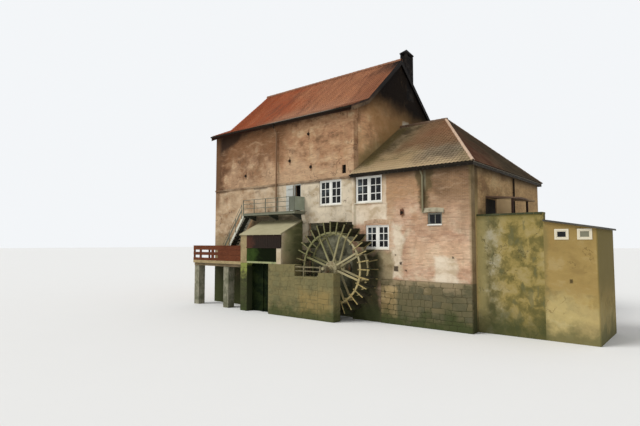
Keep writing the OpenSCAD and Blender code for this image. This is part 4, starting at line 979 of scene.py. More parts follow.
def garden_finish(name):
    """Plaster of the garden wall: pale at the left, ochre at the right, with dark leaf-shaped marks and
    painted light at its left edge.
    """
    f = Finish(name, 0.92, 0.2, 1.8)
    blobs = f.ease(f.noise(f.stray(f.place, 1.4, 3.0, 0.7), 1.55, 5.0, 0.60), 0.35, 0.66)
    left = f.ramp(blobs, (0.0, (0.110, 0.098, 0.038)), (0.34, (0.20, 0.168, 0.072)),
                  (0.62, (0.27, 0.230, 0.112)), (0.85, (0.33, 0.290, 0.170)), (1.0, (0.42, 0.38, 0.265)))
    right = f.ramp(blobs, (0.0, (0.140, 0.118, 0.036)), (0.32, (0.22, 0.172, 0.053)),
                   (0.60, held("walls").garden), (1.0, (0.36, 0.28, 0.115)))
    f.color = f.mix(f.fade(f.x, 8.6, 9.6, blotch=0.8), left, right)
    leaves = f.drawn(f.stray(f.place, 1.0, 2.0, 0.6), (1.9, 1.9, 0.75), 3.0)
    f.lay((0.125, 0.122, 0.055), 0.55, f.ease(leaves, 0.58, 0.63))
    # painted light: the left edge beside the annex is lightened against the shade there
    f.lay((0.60, 0.50, 0.215), 0.75, f.ease(f.x, 8.1, 7.6))
    f.lay((0.16, 0.14, 0.04), 0.6, f.ease(f.z, 5.5, 5.95))
    f.lay((0.06, 0.05, 0.02), 0.7, f.use("mill_cracks", Scale=0.9)[0])
    f.wear(Speck=((0.14, 0.12, 0.05), 0.25), Damp=((0.05, 0.06, 0.02), 0.8))
    return f.done(0.02, 0.6, f.spots(6.0, 8.0, 0.6))


def tower_finish(name):
    """Golden plaster of the small tower, brown at the top, cracked, and with painted shade on its right side.
    """
    s, f = held("walls"), Finish(name, 0.92, 0.2, 1.2)
    f.color = f.ramp(f.mottle, (0.0, (0.25, 0.175, 0.062)), (0.35, dim(s.tower, 0.86)), (0.7, s.tower),
                     (1.0, (0.56, 0.44, 0.21)))
    f.lay((0.27, 0.185, 0.062), 0.68, f.fade(f.z, 4.2, 5.3, blotch=0.7))
    f.lay((0.36, 0.215, 0.060), 0.45, f.ease(f.spots(0.7, 5.0, 0.6), 0.52, 0.64))
    f.lay((0.52, 0.430, 0.200), 0.55, f.fade(f.z, 3.0, 1.8, blotch=1.2))
    f.lay((0.31, 0.208, 0.070), 0.66, f.fade(f.z, 2.2, 3.2, mottle=1.2))
    f.lay((0.14, 0.09, 0.03), 0.5, f.use("mill_cracks", Scale=0.6)[0])
    f.lay((0.05, 0.035, 0.015), 0.85, f.patch((11.66, -FAR, 2.68), (11.84, 0.7, 2.92), 0.05, 0.05, 5.0))
    f.lay((0.20, 0.165, 0.062), 0.6, f.fade(f.x, 10.98, 10.72, mottle=0.2))
    # painted shade on the right side of the tower
    f.lay((0.155, 0.122, 0.036), 1.0, f.ease(f.x, 12.78, 12.85), f.ease(f.z, 1.6, 3.2, 0.55, 0.9))
    f.wear(Streak=((0.22, 0.16, 0.055), 0.4), Speck=((0.20, 0.15, 0.06), 0.2), Damp=((0.07, 0.08, 0.03), 0.7))
    return f.done(0.015, 0.6, f.spots(6.0, 8.0, 0.6))


# Finishes of timber, metal and glass

def timber(name, base, dark, stretch=LYING, wear=0.3, green=0.0, specular=0.2):
    """Old boards: grain along one axis, greyed and stained."""
    f = Finish(name, specular=specular)
    f.grained(stretch, base, dark)
    f.lay(dim(base, 0.45), 0.35, f.tone())
    f.wear(Mottle=(dim(dark, 0.6), 0.35), Speck=([min(1, c * 1.5 + 0.04) for c in base], wear))
    if green:
        f.lay(held("stone").moss, green, f.ease(f.mottle, 0.35, 0.9))
    return f.done(0.004, 0.6)


def painted(name, base, dirt, rust=0.25, roughness=0.55):
    """Painted steel or wood with dirt and rust spots."""
    f = Finish(name, roughness)
    f.color = base
    f.wear(Mottle=(dirt, 0.55), Streak=(dirt, 0.4))
    return f.rusted(rust)


def gutter_zinc(name):
    """Old gutters and pipes: nearly black, brown down the house, greenish down the annex, with a painted
    highlight along part of the house gutter's lip.
    """
    s, f = held("metal"), Finish(name, specular=0.08)
    f.color = s.zinc
    f.wear(Mottle=(dim(s.zinc, 0.5), 0.6))
    f.lay((0.26, 0.155, 0.088), 0.85, f.ease(f.y, -0.42, -0.36), f.ease(f.x, -5.0, -6.0))
    f.lay((0.25, 0.225, 0.135), 0.9, f.ease(f.z, 8.50, 8.30), f.ease(f.x, 3.0, 4.0), f.ease(f.x, 6.5, 5.5))
    # painted highlight along the lip of part of the house gutter
    f.lay((0.50, 0.47, 0.40), 0.85, f.ease(f.x, -7.6, -6.6), f.ease(f.x, -0.9, -1.8),
          f.ease(f.z, 12.905, 12.925))
    return f.done(0.002, 0.35, f.spots(20.0, 3.0))


def window_pane(name):
    """Dark glass with a bluish haze, greyer in the tower."""
    f = Finish(name, 0.12, 0.22)
    f.color = (0.006, 0.0065, 0.007)
    f.lay((0.085, 0.105, 0.115), 0.75, f.ease(f.spots(1.1, 3.0, 0.5), 0.55, 0.68))
    f.lay((0.26, 0.25, 0.17), 0.8, f.ease(f.x, 11.9, 12.0))
    return f.done(0.002, 0.2, f.spots(2.2, 2.0))


# Operators

class MILL_OT_tall_roof(bpy.types.Operator):
    """Pantiles on both slopes of the tall roof and its ridge"""
    bl_idname = "mill.tall_roof"
    bl_label = "Tall roof"

    def execute(self, context):
        s = held("roofs")
        clay = tall_roof_clay("tall_roof_clay")
        # the bed under the tiles takes the clay at 0.07 of its brightness: painted shade on its underside and
        # front edge under the eaves
        dress(tall_roof_clay("tall_roof_bed", 0.07), "house_roof_front", "house_roof_back")
        (low, high), stack = span("house_roof_front"), span("chimney_stack")
        left, right, rear = low.x, high.x, span("house_roof_back")[1].y
        bend, ridge = TALL_EAVES + BEND_UP, (high.y, high.z)
        front_line = (low.y, TALL_EAVES), (BEND_IN, bend), ridge
        back_line = (rear, TALL_EAVES), (rear - EAVES_OUT - BEND_IN, bend), ridge

        def at_stack(p):
            return p.x > stack[0].x - 0.05 and stack[0].y - 0.02 < p.y < stack[1].y + 0.05

        for name, seed, x, along, line in (("tall_tiles_front", 11, left, RIGHT, front_line),
                                           ("tall_tiles_back", 15, right, -RIGHT, back_line)):
            shape, (foot, middle, top) = Shape(), ((x, *point) for point in line)
            pantiles(shape, foot, middle, along, right - left, seed, at_stack)
            pantiles(shape, middle, top, along, right - left, seed + 1, at_stack)
            shape.piece(name, clay, "red_tiles", smooth=0.7)
        caps((left, *ridge), (right, *ridge), s.cap_radius, 0.05, 21).piece(
            "tall_ridge_tiles", cap_clay("tall_ridge_clay", dim(s.clay_brown, 0.7), (0.09, 0.045, 0.03)),
            "red_tiles", stands_for=("house_ridge",), smooth=0.7)
        self.verges(left, right, front_line, back_line)
        return {"FINISHED"}

    @staticmethod
    def verges(left, right, *lines):
        """Tile ends over a weathered board along each gable."""
        thick, tiles_down, board_down, over = 0.035, 0.085, 0.33, 0.02
        ends, planks, rng = Shape(), Shape(), random.Random(26)
        for x in (left - thick, right):
            for line in lines:
                points = [Vector((x, *point)) for point in line]
                for start, end in zip(points, points[1:]):
                    run = end - start
                    planks.slab(start - UP * tiles_down, run, UP * (tiles_down - board_down), RIGHT * thick)
                    rows = max(1, round(run.length / held("roofs").tile_row))
                    for k in range(rows):
                        lift = UP * (over - rng.uniform(0.0, 0.008))
                        foot = start + run * (k / rows) - UP * (tiles_down + 0.004)
                        ends.slab(foot - lift * 0.3, run * (1.02 / rows), lift + UP * (tiles_down + 0.002),
                                  RIGHT * (thick + 0.004), rng.random())
        clay, wood = Finish("verge_clay"), Finish("verge_timber", specular=0.2)
        clay.color = clay.mix(clay.tone(), (0.09, 0.042, 0.026), (0.03, 0.018, 0.012))
        wood.grained((30.0, 3.0, 3.0), (0.20, 0.13, 0.075), (0.10, 0.065, 0.038))
        lay_soot(clay, 0.97)
        lay_soot(wood, 0.97)
        ends.piece("verge_tile_ends", clay.done(0.005, 0.5, clay.spots(35.0)), "red_tiles")
        planks.piece("verge_planks", wood.done(0.004, 0.6), "dark_boards", stands_for=("verge_boards",))


class MILL_OT_annex_roof(bpy.types.Operator):
    """Old pantiles on the three slopes of the annex roof"""
    bl_idname = "mill.annex_roof"
    bl_label = "Annex roof"

    def execute(self, context):
        s, inset, over = held("roofs"), 0.03, 0.1
        clay = annex_roof_clay("annex_roof_clay")
        # the hip slope takes the annex clay with painted shade
        dark = annex_roof_clay("annex_hip_clay", hip=True)
        # the bed under the annex tiles is nearly black: painted shade on its underside under the eaves
        bed = cap_clay("annex_roof_bed", (0.024, 0.018, 0.012), (0.012, 0.010, 0.008))
        dress(bed, "annex_roof_front", "annex_roof_back", "annex_roof_hip")
        front, back, hip = span("annex_roof_front"), span("annex_roof_back"), span("annex_roof_hip")
        left, right, ridge_end = front[0].x, hip[1].x, hip[0].x
        near, far, middle, top = front[0].y, back[1].y, front[1].y, front[1].z
        long, deep = right - left, far - near
        across, along = middle - near, ridge_end - right
        front_cut = (right, near, 0), Vector((across, -along, 0)).normalized()
        back_cut = (right, far, 0), Vector((across, along, 0)).normalized()
        hip_cuts = (front_cut[0], -front_cut[1]), (back_cut[0], -back_cut[1])
        # name, places at the eaves and at the top, way along the eaves, length, clay and cuts
        slopes = (("front", (left + 0.01, near - inset), (left + 0.01, middle), RIGHT, long + over, clay,
                   [front_cut]),
                  ("back", (right + over, far + inset), (right + over, middle), -RIGHT, long + 0.09, clay,
                   [back_cut]),
                  ("hip", (right + inset, near - over), (ridge_end, near - over), BACK, deep + 0.2, dark,
                   hip_cuts))
        for number, (name, low, high, way, length, finish, cuts) in enumerate(slopes):
            tiles = pantiles(Shape(), (*low, ANNEX_EAVES), (*high, top), way, length, 31 + number)
            tiles.piece("annex_tiles_" + name, finish, "old_tiles", smooth=0.7, cuts=cuts)
        night = cap_clay("annex_cap_clay", (0.150, 0.085, 0.050), (0.07, 0.052, 0.032))
        pale = cap_clay("hip_cap_clay", s.hip_clay, (0.46, 0.29, 0.19))
        peak, beside = (ridge_end, middle, top), (ridge_end + 0.1, middle, top)
        for name, start, end, radius, sink, seed, finish, stands_for in (
                ("annex_ridge_caps", (left, middle, top), beside, s.cap_radius, 0.06, 41, night, ()),
                ("annex_back_hip_caps", (right, far, ANNEX_EAVES), peak, s.hip_radius, -0.01, 43, night, ()),
                ("annex_hip_caps", (right, near, ANNEX_EAVES), peak, s.hip_radius, -0.01, 42, pale,
                 ("annex_ridge_tiles",))):
            tiles = caps(start, end, radius, sink, seed)
            tiles.piece(name, finish, "hip_tiles", stands_for=stands_for, smooth=0.7)
        drip, sheets = Shape(), 6
        for k in range(sheets):
            drip.bar((right - 0.02, near + k * deep / sheets + 0.003, ANNEX_EAVES - 0.036),
                     (right + 0.014, near + (k + 1) * deep / sheets - 0.003, ANNEX_EAVES - 0.012))
        drip.piece("hip_drip_strip", cap_clay("drip_sheet", (0.30, 0.265, 0.20), (0.20, 0.175, 0.13)), "zinc",
                   bevel=0.004)
        return {"FINISHED"}


class MILL_OT_walls(bpy.types.Operator):
    """Brick and plaster of all the walls, with their arches and holes"""
    bl_idname = "mill.walls"
    bl_label = "Walls"

    def execute(self, context):
        dress(tall_brick("tall_brick"), "house_front_wall_left", "house_front_wall_right", "house_door_bay",
              "house_back_wall", "house_left_gable")
        dress(tall_brick("gable_brick", gable=True), "house_right_gable")
        dress(wet_wall("recess_wall", (0.165, 0.160, 0.108), 3.4, 0.7), "house_recess_wall")
        dress(annex_brick("annex_brick"), "annex_front_wall")
        dress(side_brick("side_brick"), "annex_right_wall", "annex_back_wall")
        dress(timber("floor_timber", (0.34, 0.23, 0.13), (0.18, 0.12, 0.07)), "floors")
        f = Finish("sooty_brick", 0.95, 0.1)
        f.color = f.ramp(f.mottle, (0.0, held("walls").soot), (0.6, (0.011, 0.009, 0.008)),
                         (1.0, (0.030, 0.024, 0.020)))
        f.bricks((0.020, 0.016, 0.014), 0.4)
        dress(f.done(strength=0.8), "chimney_stack", "chimney_cap")
        dress(self.anchor_iron("anchor_iron"), "wall_anchors")
        dark = timber("dark_timber", (0.010, 0.008, 0.007), (0.005, 0.004, 0.004), STANDING, 0.03, 0.0, 0.05)
        left, width, sill, height = SLOT_WINDOW
        shutter = boards(Shape(), (left, 0.12, sill), RIGHT, UP, width, height, 0.10, 0.02, 52, 0.006)
        shutter.piece("slot_shutter", dark, "dark_boards")
        # nearly black boards at the back of the doorway: painted shade inside it
        foot = (-4.985, 0.30, span("landing_floor")[1].z + 0.01)
        inner = boards(Shape(), foot, RIGHT, UP, 0.58, 1.80, 0.14, 0.02, 53, 0.006)
        inner.piece("inner_door_boards", dark, "dark_boards")
        plate, face, (x, z) = Shape(), span("wall_anchors")[0].y, ANCHORS[-1]
        plate.bar((x - 0.12, face + 0.016, z - 0.15), (x + 0.12, face + 0.030, z + 0.19))
        for a, b in ((-0.08, -0.10), (0.08, -0.10), (-0.08, 0.14), (0.08, 0.14)):
            plate.rod((x + a, face + 0.006, z + b), BACK * 0.012, 0.014, 6)
        rusty = painted("rusty_plate", (0.15, 0.055, 0.028), (0.06, 0.03, 0.018), 0.5, 0.8)
        plate.piece("anchor_plate", rusty, "iron", bevel=0.003)
        left, width, sill, height, face = LOWER_WINDOW
        arches = self.arch(left - 0.06, left + width + 0.06, sill + height + 0.02, face - 0.06)
        bond = rough_stone("arch_brick", (0.60, 0.44, 0.30), (0.46, 0.30, 0.19), 0.5, 0.3, 1.2)
        arches.piece("window_arches", bond, "brick_annex", bevel=0.004)
        plaster = rough_stone("hood_plaster", (0.44, 0.395, 0.285), (0.34, 0.30, 0.20), 0.4, 0.2, 1.15)
        self.hood(span("annex_front_wall")[0].y + 0.09).piece("window_hood", plaster, "pale_lintel")
        return {"FINISHED"}

    @staticmethod
    def anchor_iron(name):
        """Wall anchors: dark at the boss, the bar taken over by the colour of the wall."""
        f, half, tall = Finish(name, 0.9, 0.1), 0.13, 0.14
        spots = (f.patch((x - half, -FAR, z - tall), (x + half, FAR, z + tall), 0.05, 0.03, 4.0)
                 for x, z in ANCHORS)
        f.color = f.mix(f.most(*spots), (0.33, 0.190, 0.108), (0.018, 0.012, 0.009))
        return f.done(0.002, 0.35, f.spots(40.0, 3.0))

    @staticmethod
    def hood(face):
        """A thin plaster ledge that keeps the rain off the small window."""
        left, width, sill, height, _ = SMALL_WINDOW
        steps, out, thick, upright, arc = 14, 0.075, 0.05, 0.24, 0.05
        x0, x1, z, ledge = left - 0.28, left + width + 0.12, sill + height - 0.015, Shape()

        def edge(n):
            return x0 + (x1 - x0) * n / steps, z + arc * math.cos((n / steps - 0.45) * math.pi)

        for k in range(steps):
            (a, low_a), (b, low_b) = edge(k), edge(k + 1)
            ledge.add([(a, face, low_a), (b, face, low_b), (b, face, low_b + upright),
                       (a, face, low_a + upright), (a, face - out, low_a), (b, face - out, low_b),
                       (b, face - out, low_b + thick), (a, face - out, low_a + thick)],
                      [(0, 1, 5, 4), (4, 5, 6, 7), (7, 6, 2, 3), (0, 4, 7, 3), (1, 2, 6, 5)])
        return ledge

    @staticmethod
    def arch(left, right, foot, face):
        """A flat segmental arch of bricks on edge over a window."""
        shape, rng = Shape(), random.Random(51)
        half, rise, brick, tall = (right - left) / 2, 0.10, 0.085, 0.22
        radius = (half ** 2 + rise ** 2) / (2 * rise)
        middle, centre, limit = (left + right) / 2, foot + rise - radius, math.asin(half / radius)
        count = round(2 * half / brick)
        turn, joint = 2 * limit / count, 0.06 * limit / count
        for k in range(count):
            a0, a1 = -limit + turn * k + joint, -limit + turn * (k + 1) - joint
            out = 0.012 + rng.uniform(0, 0.006)
            corners = (a0, radius), (a1, radius), (a1, radius + tall), (a0, radius + tall)
            shape.add([(middle + math.sin(a) * r, y, centre + math.cos(a) * r)
                       for y in (face + 0.01, face - out) for a, r in corners],
                      [(3, 2, 1, 0), (4, 5, 6, 7), (0, 1, 5, 4), (1, 2, 6, 5), (2, 3, 7, 6), (3, 0, 4, 7)],
                      rng.random())
        return shape


class MILL_OT_windows(bpy.types.Operator):
    """Frames, sashes, glazing bars, sills and panes"""
    bl_idname = "mill.windows"
    bl_label = "Windows"

    def execute(self, context):
        white = self.frame_paint("window_white")
        dress(white, "window_frames")
        edges(0.006, "window_frames")
        dress(window_pane("window_pane"), "window_glass")
        back_house, back_annex = span("house_back_wall")[1].y, span("annex_back_wall")[1].y
        bars, sills = Shape(), Shape()
        for left, width, sill, height, face in LARGE_WINDOWS:
            wall, rear = (0.0, back_house) if face > 0 else (-0.18, back_annex)
            self.casements(bars, left, width, sill, height, face)
            self.casements(bars, left, width, sill, height, rear - 0.06, -1)
            sills.bar((left - 0.04, wall - 0.05, sill - 0.045),
                      (left + width + 0.04, face + 0.01, sill + 0.012))
        self.casements(bars, *SMALL_WINDOW, edge=0.025)
        for window in TOWER_WINDOWS:
            self.casements(bars, *window, edge=0.045, split=False)
        bars.piece("glazing_bars", white, "white_paint", bevel=0.004)
        stone = rough_stone("sill_stone", (0.72, 0.66, 0.54), (0.58, 0.51, 0.38), 0.4, 0.2, 1.15)
        sills.piece("window_sills", stone, "pale_lintel", bevel=0.006)
        return {"FINISHED"}

    @staticmethod
    def frame_paint(name):
        """White paint, grey round the small window above its bottom rail, and cream on the tower."""
        f, grime = Finish(name, 0.55), (0.62, 0.60, 0.52)
        f.color = held("timber").window_white
        f.wear(Mottle=(grime, 0.45), Streak=(grime, 0.4))
        left, width, sill, height, _ = SMALL_WINDOW
        low, high = (left - 0.1, -FAR, sill + 0.072), (left + width + 0.1, FAR, sill + height + 0.1)
        f.lay((0.17, 0.165, 0.130), 0.95, f.patch(low, high, 0.01, 0.0))
        f.lay((0.70, 0.62, 0.44), 0.8, f.ease(f.x, 9.0, 10.0))
        return f.done(0.002, 0.35, f.spots(40.0, 3.0))

    @staticmethod
    def casements(shape, left, width, sill, height, face, way=1, edge=0.0, split=True):
        """Two sashes of two by three panes, or one small one with the given edge, split or not."""
        s, post, small = held("timber"), 0.8 * FRAME_FACE, edge > 0.0
        x0, x1 = left + FRAME_FACE, left + width - FRAME_FACE
        z0, z1 = sill + FRAME_FACE, sill + height - FRAME_FACE
        y0, y1 = sorted((face + way * 0.014, face + way * PANE_INSET))
        middle, edge, bar = left + width / 2, edge or s.sash, s.bar / 2
        for a, b in [(x0, x1)] if small else [(x0, middle - post), (middle + post, x1)]:
            shape.bar((a, y0, z0), (a + edge, y1, z1))
            shape.bar((b - edge, y0, z0), (b, y1, z1))
            shape.bar((a + edge, y0, z0), (b - edge, y1, z0 + edge))
            shape.bar((a + edge, y0, z1 - edge), (b - edge, y1, z1))
            if split:
                c = (a + b) / 2
                shape.bar((c - bar, y0, z0 + edge), (c + bar, y1, z1 - edge))
                for z in () if small else (z0 + (z1 - z0) * k / 3 for k in (1, 2)):
                    shape.bar((a + edge, y0, z - bar), (c - bar, y1, z + bar))
                    shape.bar((c + bar, y0, z - bar), (b - edge, y1, z + bar))


class MILL_OT_stonework(bpy.types.Operator):
    """Rough stones of pier, sluice, race and plinth"""
    bl_idname = "mill.stonework"
    bl_label = "Stonework"

    def execute(self, context):
        s = held("stone")
        ochre = rough_stone("ochre_stone", dim(s.ochre, 0.78), s.grey, 1.1, pale=1.3,
                            warm=((-2.8, -FAR, 0.1), (-0.1, FAR, 1.9)))
        dress(rough_stone("ochre_bed", dim(s.ochre, 0.72), dim(s.grey, 0.75), 1.1), "wheel_pier")
        dress(self.bay_pier("bay_pier_stone"), "sluice_pier")
        low, high = span("wheel_pier")
        step, block, top, shelf, depth = low.x + 2.31, -1.15, 3.2, 2.5, high.y - low.y
        # height of the block at the right end, and how deep the back of the pier is hidden
        raised, hidden = shelf + 0.28, 1.38
        pier, flat = Shape(), (0.33, 0.5, 0.012)
        stones(pier, (low.x, low.y, 0), RIGHT, UP, step - low.x, top, 61)
        stones(pier, (step, low.y, 0), RIGHT, UP, block - step, shelf, 62)
        stones(pier, (block, low.y, 0), RIGHT, UP, high.x - block, raised, 63, 0.34, 0.6)
        stones(pier, (high.x, low.y, 0), BACK, UP, depth, raised, 64, 0.34, 0.5)
        stones(pier, (high.x, high.y, 0), -RIGHT, UP, high.x - (low.x + hidden), shelf, 65)
        stones(pier, (step, low.y, shelf), RIGHT, BACK, block - step, depth, 66, *flat)
        stones(pier, (low.x, low.y, top), RIGHT, BACK, step - low.x, depth, 67, *flat)
        pier.piece("pier_stones", ochre, "ochre_stone")
        low, high = span("sluice_pier")
        small = stones(Shape(), (low.x, low.y, 0), RIGHT, UP, 0.66, 3.2, 71)
        stones(small, (low.x, high.y, 0), -BACK, UP, high.y - low.y, 2.86, 72)
        mossy = rough_stone("mossy_stone", (0.052, 0.060, 0.020), dim(s.grey, 0.3), 1.0, head=2.4)
        small.piece("sluice_pier_stones", mossy, "ochre_stone")
        dress(wet_wall("wet_stone", (0.030, 0.034, 0.013), 6.5, 0.6, 0.12), "race_end_wall")
        dress(self.flank("flank_plaster"), "housing_side_wall")
        # green moss at the left, painted shade turning the breast nearly black to the right
        f = Finish("breast_moss_and_shade", 0.95, 0.04)
        f.color = f.mix(f.fade(f.x, -7.9, -6.6, mottle=-1.1), (0.034, 0.058, 0.013), (0.006, 0.009, 0.003))
        dress(f.done(0.015, 0.6, f.spots(10.0, 6.0, 0.65)), "breast_wall")
        dress(rough_stone("lintel_stone", s.lintel, dim(s.lintel, 0.8), 0.2, 0.2, 1.3), "sluice_lintel")
        low, high = span("annex_front_wall")
        face, left, top, ledge, course, plinth = low.y, 2.06, 2.45, 0.09, 0.30, Shape()
        stones(plinth, (left, face, 0), RIGHT, UP, high.x - left, top, 81, course, 0.50)
        stones(plinth, (high.x, face, 0), BACK, UP, ledge, top, 82, course, 0.3)
        stones(plinth, (left, face + ledge, 0), -BACK, UP, ledge, top, 83, course, 0.3)
        stones(plinth, (left, face, top), RIGHT, BACK, high.x - left, ledge, 84, ledge, 0.5, 0.012)
        plinth.piece("plinth_stones", self.plinth_finish("plinth_stone"), "brick_annex")
        return {"FINISHED"}

    @staticmethod
    def bay_pier(name):
        """Painted shade makes the side facing into the bay nearly black; bright moss on its head."""
        f = Finish(name, 0.9, 0.2, 2.2)
        f.color = f.mottled(dim(held("stone").grey, 0.5), (0.20, 0.20, 0.065))
        # painted shade on the side facing into the bay
        f.lay((0.016, 0.022, 0.008), 0.92, f.ease(f.x, -7.47, -7.39))
        f.lay((0.036, 0.042, 0.016), 0.85, f.fade(f.z, 3.0, 1.9, mottle=0.9))
        f.lay((0.30, 0.34, 0.075), 0.75, f.ease(f.z, 2.95, 3.18))
        return f.done(0.02, 0.7, f.spots(14.0, 7.0, 0.65))

    @staticmethod
    def plinth_finish(name):
        """Dark stones, paler at the top and ochre beside the wheel."""
        s, f = held("stone"), Finish(name, 0.9, 0.2, 1.1)
        f.color = f.mix(f.tone(), s.plinth, (0.165, 0.132, 0.066))
        f.lay((0.21, 0.170, 0.095), 0.5, f.ease(f.spots(1.9, 6.0, 0.7), 0.50, 0.66))
        f.lay((0.38, 0.29, 0.17), 0.6, f.fade(f.z, 2.3, 2.9, mottle=0.8))
        ochre = f.mottled((0.26, 0.18, 0.075), (0.50, 0.365, 0.18))
        f.lay(ochre, 0.9, f.patch((1.8, -FAR, 0.2), (3.20, FAR, 2.2), 0.18, 0.25))
        f.wear(Blotch=((0.085, 0.085, 0.040), 0.4), Line=((0.05, 0.05, 0.025), 0.4), Damp=(s.moss, 0.85))
        return f.done(0.02, 0.7, f.spots(12.0, 7.0, 0.65))

    @staticmethod
    def flank(name):
        """Whitewashed at the front edge, fading through tan to green towards the back, darkened there by moss
        and painted shade under the canopy.
        """
        f = Finish(name, 0.9, 0.2, 1.2)
        f.color = f.ramp(f.fade(f.y, -2.1, -0.2, mottle=0.4), (0.0, (0.62, 0.54, 0.40)),
                         (0.16, (0.46, 0.375, 0.23)), (0.5, (0.27, 0.25, 0.125)),
                         (1.0, (0.115, 0.120, 0.050)))
        f.lay((0.40, 0.30, 0.17), 0.5, f.fade(f.z, 4.6, 3.5, blotch=0.6))
        f.wear(Smear=((0.30, 0.26, 0.13), 0.4), Line=((0.06, 0.065, 0.025), 0.5))
        return f.done(0.015, 0.6, f.spots(8.0, 7.0, 0.6))


class MILL_OT_sluice(bpy.types.Operator):
    """Gate planks, housing boards and the canopy"""
    bl_idname = "mill.sluice"
    bl_label = "Sluice"

    def execute(self, context):
        # nearly black gate boards: wet, and painted shade of the recessed bay
        wet = timber("wet_boards", (0.008, 0.015, 0.005), (0.003, 0.006, 0.002), (30.0, 30.0, 2.5), 0.04,
                     0.25, 0.05)
        dress(wet, "sluice_gate")
        low, high = span("sluice_gate")
        side, pier_top = 0.12, 3.2
        planks = boards(Shape(), (low.x + side, low.y + 0.08, 0.0), UP, RIGHT, pier_top,
                        high.x - low.x - 2 * side, 0.22, -0.03, 91, 0.012)
        planks.piece("gate_planks", wet, "wet_boards", bevel=0.004)
        brown = self.housing_finish("housing_timber")
        dress(brown, "timber_housing")
        low, high = span("timber_housing")
        board, base, eaves, deep = held("timber").board, 4.24, 5.10, 1.9
        tall = eaves - base - 0.02
        clad = boards(Shape(), (low.x, low.y, base), RIGHT, UP, high.x - low.x, tall, board, 0.022, 92,
                      0.008, 0.02)
        boards(clad, (low.x, low.y + deep, base), -BACK, UP, deep, tall, board, 0.02, 93)
        clad.bar((low.x - 0.02, low.y - 0.035, base - 0.05), (high.x + 0.01, low.y + 0.002, base + 0.02), 0.2)
        clad.piece("housing_boards", brown, "brown_boards", bevel=0.004)
        sheet = painted("canopy_sheet", (0.405, 0.365, 0.225), (0.30, 0.265, 0.15), 0.18, 0.8)
        dress(sheet, "canopy_roof")
        self.canopy().piece("canopy_seams", sheet, "canopy_sheet", bevel=0.004)
        tan = timber("tan_post", (0.42, 0.31, 0.17), (0.30, 0.24, 0.11), STANDING, 0.3, 0.15)
        dress(timber("guard_timber", (0.26, 0.22, 0.13), (0.13, 0.11, 0.06), LYING, 0.3, 0.3), "wheel_guard")
        edges(0.008, "wheel_guard")
        (low, high), post, skin = span("sluice_pier"), Shape(), 0.012
        post.bar((low.x - skin, low.y - skin, pier_top),
                 (low.x + 0.6 + skin, low.y + 0.45 + skin, high.z + 0.004))
        post.piece("corner_post", tan, "ochre_stone", bevel=0.01)
        return {"FINISHED"}

    @staticmethod
    def housing_finish(name):
        """Red brown at the left and nearly black at the right, with painted shade under the eaves."""
        f, brown = Finish(name, specular=0.2), held("timber").brown_board
        f.grained((30.0, 30.0, 3.0), brown, dim(brown, 0.6))
        f.lay(dim(brown, 0.45), 0.5, f.tone())
        f.lay((0.012, 0.009, 0.006), 0.90, f.fade(f.x, -6.9, -5.9, mottle=0.8))
        # painted shade under the canopy eaves
        f.lay((0.03, 0.014, 0.009), 0.6, f.ease(f.z, 4.7, 5.05))
        return f.done(0.004, 0.6)

    @staticmethod
    def canopy():
        """Standing seams on the canopy sheet."""
        (low, high), shape = span("canopy_roof"), Shape()
        seams, wide, tall, front_top = 6, 0.03, 0.035, 4.97 + 0.07
        lean = Vector((0, high.y - low.y, high.z - front_top))
        up = lean.normalized()
        for k in range(seams + 1):
            x = low.x + (high.x - low.x - wide) * k / seams
            shape.slab((x, low.y + 0.018, front_top - 0.004), RIGHT * wide, up * (lean.length - 0.01),
                       Vector((0, -up.z, up.y)) * tall)
        return shape


